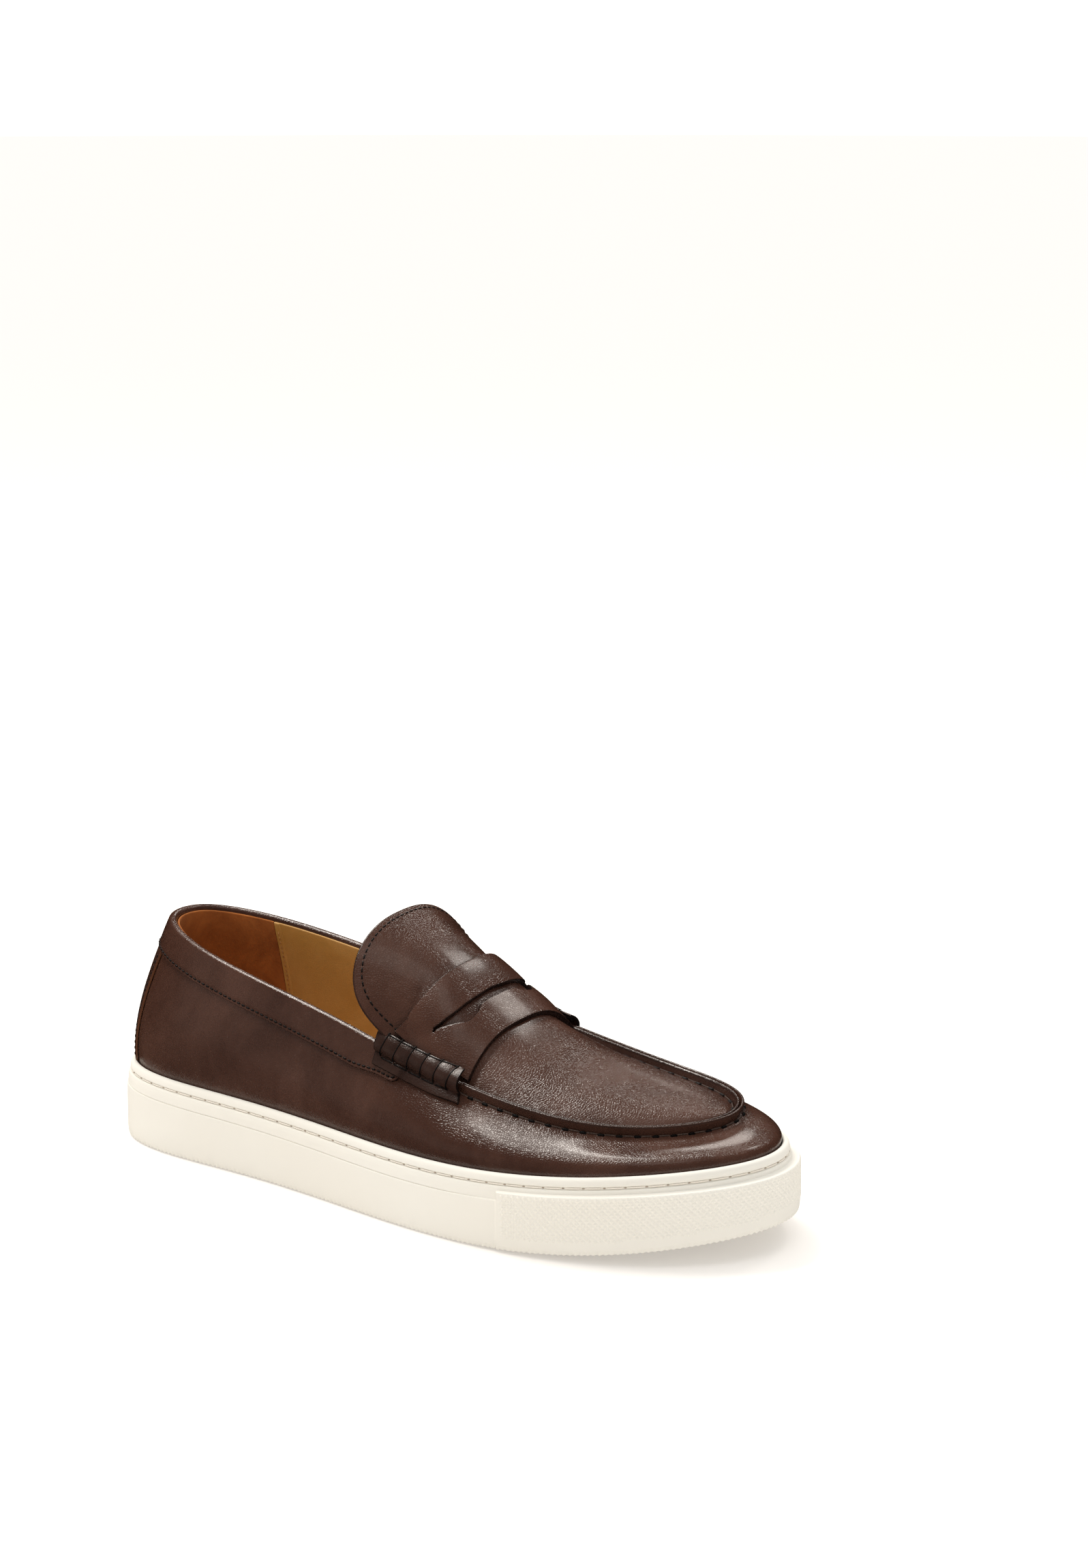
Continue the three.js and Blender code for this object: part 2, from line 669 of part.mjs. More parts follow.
// Section of the rolled leather: distance above the seam along the surface, height over it.
const ROLL_OUTSIDE = [
  [-4.4, 1.6],
  [-3.8, 2.9],
  [-2.4, 4.1],
  [0, 4.7],
  [2, 4.5],
  [3.6, 4],
  [4.6, 3.6],
];
const ROLL_INSIDE = [
  [4.6, 2.6],
  [3.2, 2.8],
  [1.6, 3.3],
  [0, 3.5],
  [-1.9, 2.8],
  [-2.9, 1.8],
  [-3.5, 0.7],
];
const CORE_RADIUS = 0.8;
const CORE_PLACE = [0.5, 2.3];
const FLANGE_DROPS = [9.4, 5.4]; // from the seam's crest down the wall

const STRAP_SHOULDER = 0.95; // a of the place on the plug that a roll leans on

// Frame at the seam: up along the surface, and out of it.
function rollFrame(u) {
  const seam = top(u);
  const s = Math.abs(TOE_U - u) / HALF_SPAN;
  const onPlug = plugPoint(s, STRAP_SHOULDER * Math.sign(TOE_U - u));
  const up = onPlug.sub(wallPoint(u, below(u, 4))).normalize();
  const along = top(u + PLUG_STEP).sub(top(u - PLUG_STEP)).normalize();
  const out = along.clone().cross(up).normalize();
  return (rise, height) => seam.clone().addScaledVector(up, rise).addScaledVector(out, height);
}

for (const [side, start] of [
  ["lateral", ROLL_LATERAL],
  ["medial", ROLL_MEDIAL],
]) {
  const cuts = [0, 0.17, 0.34, 0.5, 0.66, 0.83, 1].map((t) => start + t * ROLL_LENGTH);
  const flange = (u, height) => {
    return FLANGE_DROPS.map((drop) => wall(u, below(u, drop + COLLAR_LIP - seamRise(u)), height));
  };
  const section = (u) => {
    const at = rollFrame(u);
    return [
      ...flange(u, GAP + 1.3),
      ...ROLL_OUTSIDE.map((place) => at(...place)),
      ...ROLL_INSIDE.map((place) => at(...place)),
      ...flange(u, GAP + 0.1).toReversed(),
    ];
  };
  loft(`beefroll_${side}`, cuts.map(section), brownLeather);

  const coreCuts = [0.04, 0.25, 0.5, 0.75, 0.96].map((t) => start + t * ROLL_LENGTH);
  thread(`beefroll_core_${side}`, coreCuts.map((u) => rollFrame(u)(...CORE_PLACE)), threadBrown, 8, CORE_RADIUS);

  // The thread goes over the roll and steps forward along its foot, then its crown, by turns.
  const over = [
    [-4.9, 2.8],
    [-4.3, 4.0],
    [-2.7, 5.4],
    [0, 6],
    [2.3, 5.8],
    [4.1, 5.2],
  ];
  const loops = [0.1, 0.26, 0.42, 0.58, 0.74, 0.9];
  const path = loops.flatMap((t, k) => {
    const at = rollFrame(start + t * ROLL_LENGTH);
    const places = over.map((place) => at(...place));
    return k % 2 ? places.reverse() : places;
  });
  thread(`beefroll_thread_${side}`, path, threadBrown, 72, 0.35);
}

export default group;
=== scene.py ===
"""Looks of the penny loafer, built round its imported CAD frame.

The shapes hang on the same two closed curves as the CAD part: FEATHER, where the upper enters the
rubber cup, and TOP, the collar edge and the crest of the moccasin seam. Lengths here are in
millimetres until build() turns a piece into a mesh in metres.

u runs once round the shoe: 0 at the back of the heel, 0.25 on the outer side, about 0.52 at the toe.
w runs up the wall: 0 at the rim, 1 at the wall's top. On the plug, s runs from the toe to the tongue's
tip, and a from -1 at the medial edge to 1 at the lateral one.
"""
import math

import bpy
import numpy as np
from mathutils import Matrix, Vector


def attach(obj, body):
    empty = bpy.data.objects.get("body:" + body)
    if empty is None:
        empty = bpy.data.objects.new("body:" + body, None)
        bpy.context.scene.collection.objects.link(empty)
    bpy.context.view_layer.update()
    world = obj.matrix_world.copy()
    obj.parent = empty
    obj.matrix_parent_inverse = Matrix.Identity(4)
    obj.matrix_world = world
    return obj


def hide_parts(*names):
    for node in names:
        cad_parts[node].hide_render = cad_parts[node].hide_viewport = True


MM = 0.001
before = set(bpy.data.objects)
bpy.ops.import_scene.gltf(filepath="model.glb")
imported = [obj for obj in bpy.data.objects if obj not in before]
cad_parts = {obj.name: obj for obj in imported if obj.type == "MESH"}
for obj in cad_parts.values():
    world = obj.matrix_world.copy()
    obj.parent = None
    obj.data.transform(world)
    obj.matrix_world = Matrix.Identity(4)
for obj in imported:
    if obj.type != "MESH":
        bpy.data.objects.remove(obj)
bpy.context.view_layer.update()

# ---- driving dimensions, as in the CAD part

# x, y, height of the rim, height of the tread above the floor
FEATHER = np.array([
    (-1, -152, 32, 0), (23, -146, 31.8, 0), (34, -119, 31.2, 0), (34.5, -77, 30.3, 0),
    (40, -31, 29.3, 0), (50, 18, 28.3, 0), (52, 65, 29.3, 0), (39, 115, 34, 4.5),
    (1, 156, 38.5, 13), (-40, 138, 36.5, 9), (-52, 95, 32, 2), (-47.5, 45, 28, 0),
    (-39, -1, 28.6, 0), (-35, -53, 29.8, 0), (-36, -109, 31, 0), (-25, -146, 31.9, 0),
])
TOP = np.array([
    (-5, -138, 94), (12, -133, 93.5), (22.5, -108, 86.5), (26, -69, 78.5),
    (28.5, -27, 70), (33, 13, 60), (36, 53, 52.5), (28, 95, 46),
    (-6.5, 133, 47.5), (-33.5, 123.5, 51.5), (-39.5, 82, 53.5), (-37, 37.5, 62.5),
    (-35.5, -3.5, 70.5), (-34, -48, 79.5), (-32, -100, 88), (-21.5, -133, 92.5),
])
TOP_LEAN = np.array([24, 22, 14, 8, 12, 24, 42, 58, 66, 60, 40, 22, 12, 8, 14, 22.0])
BASE_SWELL = np.array([2, 4, 8, 10, 12, 12, 12, 12, 12, 12, 12, 12, 12, 10, 8, 4.0])
# y and height of the instep's ridge
RIDGE_LINE = [(-43, 119), (-18, 107.5), (7, 94), (32, 75), (57, 62.5), (87, 54.5), (127, 47.5)]
PERIMETER = 760  # of the feather line, roughly

TOE_U = 33 / 64
HALF_SPAN = 14 / 64  # from the toe to either end of the seam
LEATHER = 1.3
GAP = 0.3
APPLIED = 1.2
STIFFENER = 0.8
LINING = 0.9
LINING_FACE = LEATHER + STIFFENER + 2.5 * GAP
RIM_DEPTH = 17
MARGIN_WIDTH = 14
TUCK_RADIUS = 5
SEAM_HEIGHT = 3.6
SEAM_HALF = 1.6
SEAM_LEAN = 0.3
SEAM_LATERAL = (0.325, 0.347)
SEAM_MEDIAL = (0.683, 0.705)
COLLAR_LIP = 0.35
COLLAR_HEIGHT = 14
COLLAR_STEP = 3.2
MEDIAL_JOIN = 47 / 64
TONGUE_LENGTH = 26
TONGUE_SPREAD = 0.25
TONGUE_RISE = 0.9
TONGUE_ROUNDNESS = 5
STRAP_THICKNESS = 1.8
STRAP_FRONT = 37
STRAP_SIDE = 0.95
ROLL_LENGTH = 0.0645
ROLL_LATERAL = 0.2805
ROLL_MEDIAL = 0.689
SKEW_KEPT = 0.8

SEAM_PITCH = 7.0
SOLE_PITCH = 8.0
FINE_PITCH = 2.6  # collar, tongue, heel stay and back seam

# ---- curves and surfaces


def unit(v):
    return v / np.linalg.norm(v, axis=-1, keepdims=True)


def mix(a, b, t):
    return a + (b - a) * t


def smooth(low, high, x):
    t = np.clip((np.asarray(x, float) - low) / (high - low), 0, 1)
    return t * t * (3 - 2 * t)


def both(a, b):
    """Two arrays of numbers in their common shape."""
    return np.broadcast_arrays(np.asarray(a, float), np.asarray(b, float))


def column(x):
    """A trailing axis, so that one number multiplies a point."""
    return np.asarray(x, float)[..., None]


def spline(table, u):
    """Value at u of the periodic cubic B-spline with these control rows."""
    rows = len(table)
    t = np.mod(u, 1) * rows
    i = np.floor(t).astype(int)
    f = t - i
    if table.ndim > 1:
        f = f[..., None]
    weights = [(1 - f) ** 3, 3 * f**3 - 6 * f**2 + 4, -3 * f**3 + 3 * f**2 + 3 * f + 1, f**3]
    return sum(w / 6 * table[(i + k - 1) % rows] for k, w in enumerate(weights))


def catmull(points, count):
    """Catmull-Rom curve through a few points, as count points evenly spaced in parameter."""
    p = np.asarray(points, float)
    p = np.vstack([2 * p[0] - p[1], p, 2 * p[-1] - p[-2]])
    t = np.linspace(0, len(p) - 3, count)
    i = np.minimum(t.astype(int), len(p) - 4)
    f = (t - i)[:, None]
    a, b, c, d = p[i], p[i + 1], p[i + 2], p[i + 3]
    return 0.5 * (2 * b + (c - a) * f + (2 * a - 5 * b + 4 * c - d) * f**2 + (3 * b - a - 3 * c + d) * f**3)


def run_length(path):
    """Distance along a path of points, 0 at its first point."""
    steps = np.linalg.norm(np.diff(path, axis=-2), axis=-1)
    return np.hstack([0 * steps[..., :1], np.cumsum(steps, axis=-1)])


def feather(u):
    return spline(FEATHER, u)


def top(u):
    return spline(TOP, u)


def outward(u):
    """Outward horizontal normal of the feather line."""
    step = 1 / 512
    d = feather(u + step) - feather(u - step)
    return unit(np.stack([d[..., 1], -d[..., 0], np.zeros_like(d[..., 0])], -1))


def seam_share(u):
    """1 along the moccasin seam, 0 along the collar."""
    w = np.mod(u, 1)
    return smooth(*SEAM_LATERAL, w) * (1 - smooth(*SEAM_MEDIAL, w))


def seam_direction(u):
    return unit(outward(u) * SEAM_LEAN + np.array([0, 0, 1.0]))


def seam_rise(u):
    return mix(COLLAR_LIP, SEAM_HEIGHT, seam_share(u))


def wall_top(u):
    return top(u) + outward(u) * column(SEAM_HALF * seam_share(u)) - seam_direction(u) * column(seam_rise(u))


def wall_point(u, w):
    """Outer face of the wall. Below 0, w runs to -3 at the lasted margin's edge; 2 is the seam's crest."""
    u, w = both(u, w)
    rim = feather(u)[..., :3]
    n = outward(u)
    turn = np.clip(-1 - w, 0, 1) * math.pi / 2
    inset = TUCK_RADIUS * (1 - np.cos(turn)) + np.clip(-2 - w, 0, 1) * (MARGIN_WIDTH - TUCK_RADIUS)
    depth = RIM_DEPTH - TUCK_RADIUS
    drop = np.where(w > -1, np.clip(-w, 0, 1) * depth, depth + TUCK_RADIUS * np.sin(turn))
    low = rim - n * column(inset)
    low[..., 2] -= drop

    end = wall_top(u)
    reach = np.linalg.norm(end - rim, axis=-1, keepdims=True)
    swell = column(np.radians(spline(BASE_SWELL, u)))
    lean = column(np.radians(spline(TOP_LEAN, u)))
    along = np.stack([-n[..., 1], n[..., 0], np.zeros_like(u)], -1)
    skew = along * np.sum((end - rim) * along, axis=-1, keepdims=True) * SKEW_KEPT
    z = np.array([0, 0, 1.0])
    leave = (z * np.cos(swell) + n * np.sin(swell)) * reach + skew
    arrive = (z * np.cos(lean) - n * np.sin(lean)) * reach + skew
    t = column(np.clip(w, 0, 1))
    t2, t3 = t * t, t * t * t
    high = rim * (2 * t3 - 3 * t2 + 1) + leave * (t3 - 2 * t2 + t)
    high = high + end * (3 * t2 - 2 * t3) + arrive * (t3 - t2)
    high = high + seam_direction(u) * column(seam_rise(u) * np.clip(w - 1, 0, None))
    return np.where(column(w) <= 0, low, high)


def above(surface, a, b, height, step_a, step_b):
    """A point of the surface at a, b, lifted along its normal."""
    a, b = both(a, b)
    across = surface(a + step_a, b) - surface(a - step_a, b)
    along = surface(a, b + step_b) - surface(a, b - step_b)
    return surface(a, b) + unit(np.cross(across, along)) * column(height)


def wall(u, w, height=0.0):
    return above(wall_point, u, w, height, 1 / 400, 0.03)


def below(u, drop):
    """w at a distance below the top of the wall."""
    length = np.linalg.norm(top(u) - wall_point(u, 0), axis=-1)
    return 1 - drop / length


RIDGE = catmull(RIDGE_LINE, 600)


def ridge_height(y):
    return np.interp(y, RIDGE[:, 0], RIDGE[:, 1])


def plug_side(s, sign):
    """Edge of the plug's face, lateral for sign 1. At s 1 the seam ends and the tongue begins."""
    u = TOE_U - sign * np.minimum(s, 1) * HALF_SPAN
    share = column(seam_share(u))
    length = TONGUE_LENGTH * np.maximum(s - 1, 0)
    base = top(u) - outward(u) * SEAM_HALF * share - seam_direction(u) * SEAM_HEIGHT * share
    return base + np.stack([sign * TONGUE_SPREAD * length, -length, TONGUE_RISE * length], -1)


def plug_point(s, a):
    s, a = both(s, a)
    medial, lateral = plug_side(s, -1), plug_side(s, 1)
    point = mix(medial, lateral, column((a + 1) / 2))
    power = mix(2.5, 2.9, smooth(-13, 12, point[..., 1]))
    middle = (medial + lateral) / 2
    crown = ridge_height(middle[..., 1]) - middle[..., 2]
    point[..., 2] += crown * (1 - np.abs(a) ** power)
    return point


def plug(s, a, height=0.0):
    return above(plug_point, s, a, height, 0.004, 0.004)


STATION_GRID = np.linspace(0, 2, 1601)
STATION_Y = (plug_side(STATION_GRID, -1)[:, 1] + plug_side(STATION_GRID, 1)[:, 1]) / 2


def station_at(y):
    return np.interp(-np.asarray(y, float), -STATION_Y, STATION_GRID)


def spaced(path, u0, u1, pitch, ends=0.5):
    """Parameters a pitch apart along path(u). ends is the share of a pitch left before the first."""
    u = np.linspace(u0, u1, 2000)
    length = run_length(path(u))
    count = max(int(round(length[-1] / pitch)), 1)
    places = (np.arange(count) + ends) / count * length[-1]
    return np.interp(places, length, u)


# ---- meshes


def lattice(n, m, ring=False):
    """Quads between n loops of m points each. In a ring the last loop joins the first."""
    i, j = np.meshgrid(np.arange(n if ring else n - 1), np.arange(m), indexing="ij")
    i2, j2 = (i + 1) % n, (j + 1) % m
    return np.stack([i * m + j, i * m + j2, i2 * m + j2, i2 * m + j], -1).reshape(-1, 4)


def rungs(base, count):
    """Quads that close a ring of points by joining opposite ones."""
    i = np.arange(count // 2 - 1)
    return base + np.stack([i, i + 1, count - 2 - i, count - 1 - i], -1)


def add(name, data):
    made = bpy.data.objects.new(name, data)
    bpy.context.scene.collection.objects.link(made)
    return made


def closed_faces(n, m, base=0):
    """Faces of a body through n loops of m points, with both ends closed."""
    return [base + lattice(n, m), base + rungs(0, m)[:, ::-1], base + rungs((n - 1) * m, m)]


def build(name, points, faces, look, slot_name, stands_for=(), crease=35, **attributes):
    """One closed piece, in the row frame, riding on the root body."""
    points = np.asarray(points, float).reshape(-1, 3)
    faces = np.asarray(faces, int)
    a, b, c = points[faces[:, 0]], points[faces[:, 1]], points[faces[:, 2]]
    volume = np.einsum("ij,ij->", a, np.cross(b, c))
    if faces.shape[1] == 4:
        volume += np.einsum("ij,ij->", a, np.cross(c, points[faces[:, 3]]))
    if volume < 0:
        faces = faces[:, ::-1]
    mesh = bpy.data.meshes.new(name)
    mesh.from_pydata((points * MM).tolist(), [], faces.tolist())
    mesh.validate()
    mesh.polygons.foreach_set("use_smooth", [True] * len(mesh.polygons))
    mesh.set_sharp_from_angle(angle=math.radians(crease))
    for key, values in attributes.items():
        layer = mesh.attributes.new(key, "FLOAT", "POINT")
        layer.data.foreach_set("value", np.asarray(values, np.float32).ravel())
    mesh.materials.append(look)
    piece = add(name, mesh)
    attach(piece, "root")
    if stands_for:
        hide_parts(*stands_for)
    return piece


def loft(name, sections, look, slot_name, stands_for=(), ring=False, **more):
    """A body through closed loops of points, sections[k, i]. Unless it is a ring, its ends are closed."""
    sections = np.asarray(sections, float)
    n, m = sections.shape[:2]
    faces = [lattice(n, m, ring)] if ring else closed_faces(n, m)
    return build(name, sections, np.vstack(faces), look, slot_name, stands_for, **more)


THREAD_SIDES = 8


def tubes(name, paths, radius, look, slot_name, stands_for=(), hole=0.0):
    """Round threads along open paths, as one piece. hole widens their ends, which fill the needle holes:
    thread going in, and painted shade of the holes in the thread's colour.
    """
    all_points, all_faces, base = [], [], 0
    angle = np.arange(THREAD_SIDES) * 2 * math.pi / THREAD_SIDES
    cosine, sine = np.cos(angle)[None, :, None], np.sin(angle)[None, :, None]
    for path in paths:
        path = np.asarray(path, float)
        tangent = unit(np.gradient(path, axis=0))
        side = np.zeros_like(path)
        seed = np.array([0.13, 0.21, 1.0])
        for k, t in enumerate(tangent):
            seed = seed - t * (seed @ t)
            seed /= np.linalg.norm(seed)
            side[k] = seed
        other = np.cross(tangent, side)
        size = radius * (1 + hole * np.abs(np.linspace(-1, 1, len(path))) ** 6)
        size[[0, -1]] *= 0.4
        around = side[:, None] * cosine + other[:, None] * sine
        loops = path[:, None] + size[:, None, None] * around
        all_points.append(loops.reshape(-1, 3))
        all_faces += closed_faces(len(path), THREAD_SIDES, base)
        base += len(path) * THREAD_SIDES
    return build(name, np.vstack(all_points), np.vstack(all_faces), look, slot_name, stands_for, crease=60)


def stitch_paths(place, u0, u1, pitch, cover=0.72, lift=0.35, sink=0.7, ends=0.5):
    """Paths of single stitches along place(u, height): each comes out, lies on the surface and goes in."""
    paths = []
    centres = spaced(lambda u: place(u, 0.0), u0, u1, pitch, ends)
    step = np.gradient(centres) if len(centres) > 1 else np.array([u1 - u0])
    t = np.linspace(-1, 1, 9)
    height = lift - (lift + sink) * np.abs(t) ** 5
    for u, du in zip(centres, step):
        paths.append(place(u + t * du * cover / 2, height))
    return paths


# ---- materials


class Look:
    """A procedural material: a Principled shader and the nodes that feed it."""

    def __init__(self, name, **values):
        self.material = bpy.data.materials.new(name)
        self.material.use_nodes = True
        self.nodes = self.material.node_tree.nodes
        self.links = self.material.node_tree.links
        self.shader = self.nodes["Principled BSDF"]
        for key, value in values.items():
            self.shader.inputs[key.replace("_", " ")].default_value = value
        self.where = self.nodes.new("ShaderNodeTexCoord").outputs["Object"]

    def node(self, kind, inputs=None, **properties):
        made = self.nodes.new(kind)
        for key, value in properties.items():
            setattr(made, key, value)
        for key, value in (inputs or {}).items():
            if isinstance(value, bpy.types.NodeSocket):
                self.links.new(value, made.inputs[key])
            else:
                made.inputs[key].default_value = value
        return made

    def noise(self, scale, detail=2.0, roughness=0.5, distortion=0.0):
        values = {"Vector": self.where, "Scale": scale, "Detail": detail, "Roughness": roughness}
        return self.node("ShaderNodeTexNoise", {**values, "Distortion": distortion}).outputs["Fac"]

    def cells(self, scale):
        values = {"Vector": self.where, "Scale": scale}
        return self.node("ShaderNodeTexVoronoi", values, feature="DISTANCE_TO_EDGE").outputs["Distance"]

    def math(self, operation, a, b=0.0, clamp=False):
        return self.node("ShaderNodeMath", {0: a, 1: b}, operation=operation, use_clamp=clamp).outputs[0]

    def ramp(self, value, low, high, to_low=0.0, to_high=1.0):
        values = {"Value": value, "From Min": low, "From Max": high, "To Min": to_low, "To Max": to_high}
        return self.node("ShaderNodeMapRange", values).outputs["Result"]

    def blend(self, share, a, b):
        return self.node("ShaderNodeMix", {0: share, 6: a, 7: b}, data_type="RGBA").outputs[2]

    def attribute(self, name):
        return self.node("ShaderNodeAttribute", attribute_name=name).outputs["Fac"]

    def bump(self, height, strength, distance, under=None):
        values = {"Height": height, "Strength": strength, "Distance": distance}
        if under:
            values["Normal"] = under
        return self.node("ShaderNodeBump", values).outputs["Normal"]

    def grained(self, colour, grain, roughness, strength, distance):
        """Colour, with a roughness range and a bump from one fine grain."""
        rough = self.ramp(grain, 0.3, 0.7, *roughness)
        return self.set(Base_Color=colour, Roughness=rough, Normal=self.bump(grain, strength, distance))

    def set(self, **sockets):
        for key, value in sockets.items():
            self.links.new(value, self.shader.inputs[key.replace("_", " ")])
        return self.material


def srgb(*rgb):
    return tuple((c / 255 / 12.92) if c < 11 else ((c / 255 + 0.055) / 1.055) ** 2.4 for c in rgb) + (1.0,)


def leather(name, dark, light, cut, grain=1.0, roughness=(0.22, 0.31), coat=0.4):
    """Smooth leather: cloudy colour, fine pebble grain, and a dark colour where a mesh value is 1: edge
    paint, and painted shade on the seam's lips, the strap's outline and the beefrolls' ends.
    """
    look = Look(name, Specular_IOR_Level=0.5, Coat_Weight=coat, Coat_Roughness=0.18)
    cloud = look.noise(28, 4, 0.6, 0.4)
    fine = look.noise(600, 2, 0.5)
    pebbles = look.ramp(look.cells(1080), 0.0, 0.3)
    colour = look.blend(look.ramp(cloud, 0.35, 0.68), dark, light)
    colour = look.blend(look.math("MULTIPLY", look.attribute("cut"), 1.0, True), colour, cut)
    patches = look.math("ADD", look.math("MULTIPLY", cloud, 0.6), look.math("MULTIPLY", fine, 0.4))
    rough = look.ramp(patches, 0.3, 0.7, *roughness)
    normal = look.bump(look.noise(90, 3), 0.18, 0.0006)
    relief = look.math("ADD", pebbles, look.math("MULTIPLY", fine, 0.5))
    normal = look.bump(relief, 0.28 * grain, 0.00026, normal)
    return look.set(Base_Color=colour, Roughness=rough, Normal=normal)


def suede(name, dark, light):
    look = Look(name, Specular_IOR_Level=0.15, Sheen_Weight=0.35, Sheen_Roughness=0.5)
    look.shader.inputs["Sheen Tint"].default_value = srgb(214, 150, 96)
    nap = look.noise(900, 4, 0.7)
    cloud = look.noise(55, 3, 0.6, 0.8)
    colour = look.blend(look.ramp(cloud, 0.3, 0.7), dark, light)
    colour = look.blend(look.ramp(nap, 0.45, 0.7, 0.0, 0.35), colour, light)
    return look.grained(colour, nap, (0.85, 1.0), 0.5, 0.0003)


def rubber(name, base, shade):
    look = Look(name, Specular_IOR_Level=0.35)
    cloud = look.noise(14, 2, 0.5)
    fine = look.noise(1400, 2, 0.6)
    colour = look.blend(look.ramp(cloud, 0.35, 0.7), base, shade)
    return look.grained(colour, fine, (0.5, 0.66), 0.12, 0.0001)


def thread_look(name, dark, light):
    look = Look(name, Specular_IOR_Level=0.4)
    twist = look.noise(2600, 2, 0.6)
    colour = look.blend(look.ramp(twist, 0.35, 0.65), dark, light)
    return look.grained(colour, twist, (0.45, 0.7), 0.5, 0.0001)


def fibre(name, dark, light, scale):
    look = Look(name, Specular_IOR_Level=0.2)
    grain = look.noise(scale, 4, 0.7)
    colour = look.blend(look.ramp(grain, 0.35, 0.65), dark, light)
    return look.grained(colour, grain, (0.75, 0.95), 0.4, 0.0002)


UPPER_DARK, UPPER_LIGHT = srgb(60, 36, 27), srgb(79, 51, 40)
ROLL_DARK, ROLL_LIGHT = srgb(44, 27, 21), srgb(60, 39, 31)
TAN_DARK, TAN_LIGHT = srgb(184, 136, 66), srgb(202, 156, 90)
BROWN = leather("brown_leather", UPPER_DARK, UPPER_LIGHT, srgb(26, 16, 13))
STAY_BROWN = leather("stay_leather", UPPER_DARK, UPPER_LIGHT, srgb(100, 56, 28))
ROLL_BROWN = leather("roll_leather", ROLL_DARK, ROLL_LIGHT, srgb(20, 13, 11), 0.6, (0.26, 0.36), 0.15)
TAN = leather("tan_leather", TAN_DARK, TAN_LIGHT, srgb(120, 78, 34), 0.5, (0.5, 0.65), 0.0)
SUEDE = suede("suede", srgb(128, 70, 32), srgb(172, 104, 52))
RUBBER = rubber("sole_rubber", srgb(232, 229, 220), srgb(230, 226, 216))
BROWN_THREAD = thread_look("brown_thread", srgb(18, 13, 12), srgb(40, 30, 27))
SEAM_THREAD = thread_look("seam_thread", srgb(58, 44, 37), srgb(84, 66, 57))
# near-black thread, also used as painted shade in needle holes
BLACK_THREAD_AND_HOLE_SHADE = thread_look("black_thread_and_hole_shade", srgb(9, 7, 7), srgb(22, 16, 15))
CREAM_THREAD = thread_look("cream_thread", srgb(232, 225, 212), srgb(243, 236, 225))
# greyish brown painted shade for the sole's needle holes
SOLE_HOLE_SHADE = thread_look("needle_hole_shade", srgb(158, 142, 124), srgb(184, 169, 152))
TAN_THREAD = thread_look("tan_thread", srgb(150, 104, 56), srgb(190, 142, 84))
BOARD = fibre("fibreboard", srgb(172, 145, 108), srgb(196, 170, 132), 700)
FOAM = fibre("foam", srgb(206, 194, 168), srgb(226, 216, 194), 1600)

# ---- cup sole

SOLE_STATIONS = 1536
CUP_FLOOR = 5
BUMPER_STEP = 0.7
BUMPER_FROM, BUMPER_TO = 0.3725, 0.6405
BUMPER_TOP = 6.2  # drop of the bumper's upper edge from the rim
LEDGE_OUT, LEDGE_DROP = 5.42, 9.9  # the side's upper edge: distance from the feather line, drop
FACE_LEAN = 0.012  # of the toe bumper's face
FLARE = (-0.6, 1.3)  # added to the side at the heel and at the toe
TOOTH_PITCH = 2.3
STUD_WIDTH, STUD_ROW, STUD_RISE = 2.4, 1.15, 0.42
STUD_ROWS, STUD_FIRST, STUD_LAST = 18, 1.1, 5.5  # room left over and under the rows
CHANNEL_OUT, CHANNEL_DROP = 2.98, 3.55  # floor of the stitch channel


def ring_point(u, out, z):
    """A place at a distance out from the feather line."""
    x, y = feather(u)[..., 0], feather(u)[..., 1]
    n = outward(u)
    return np.stack([x + n[..., 0] * out, y + n[..., 1] * out, np.broadcast_to(z, x.shape)], -1)


def side_out(u, out):
    toe = np.clip((feather(u)[..., 1] - 37) / 110, 0, 1)
    return out + mix(*FLARE, toe)


def bumper_share(u):
    edge = 0.0006
    started = smooth(BUMPER_FROM - edge, BUMPER_FROM + edge, u)
    return started * (1 - smooth(BUMPER_TO - edge, BUMPER_TO + edge, u))


def bumper_face(u, drop):
    """How far out the toe bumper's face is, at a drop below the rim."""
    return side_out(u, LEDGE_OUT - FACE_LEAN * (LEDGE_DROP - drop)) + BUMPER_STEP


# out from the feather line, up from the tread; how deep and how tall the notches between the teeth are
FOOT_PROFILE = [
    (3.4, 0, 0, 0), (4.2, 0, 0.1, 0.2), (4.9, 0.1, 0.25, 0.3), (5.2, 0.6, 0.3, 0.24), (5.35, 1.3, 0.2, 0.1),
    (5.45, 1.9, 0.05, 0.05), (5.5, 2.4, 0, 0), (5.62, 4.5, 0, 0),
]
# out from the feather line, drop below the rim, share of the bumper's step
RIM_PROFILE = [
    (5.42, 10.1, 1), (5.38, 9.75, 1), (5.2, 9.5, 1), (4.75, 9.35, 1), (4.45, 9.2, 1), (4.35, 8.6, 1),
    (4.3, 7.6, 1), (4.25, 6.6, 1), (4.2, 6.25, 0.9), (4.15, 6.0, 0.2), (4.1, 5.8, 0), (4.0, 5.0, 0),
    (3.85, 4.5, 0), (3.72, 4.25, 0), (3.45, 4.15, 0), (3.1, 4.1, 0), (2.85, 3.95, 0), (2.8, 3.55, 0),
    (2.82, 3.15, 0), (3.0, 3.0, 0), (3.2, 2.98, 0), (3.3, 2.8, 0), (3.32, 2.4, 0), (3.2, 1.6, 0),
    (2.95, 0.8, 0), (2.6, 0.25, 0), (2.1, -0.1, 0), (1.5, -0.28, 0), (1.0, -0.25, 0), (0.55, 0.05, 0),
    (0.35, 0.6, 0), (0.3, 3.0, 0),
]
TREAD_DEPTH = 1.4
TREAD_BORDER = 5.5


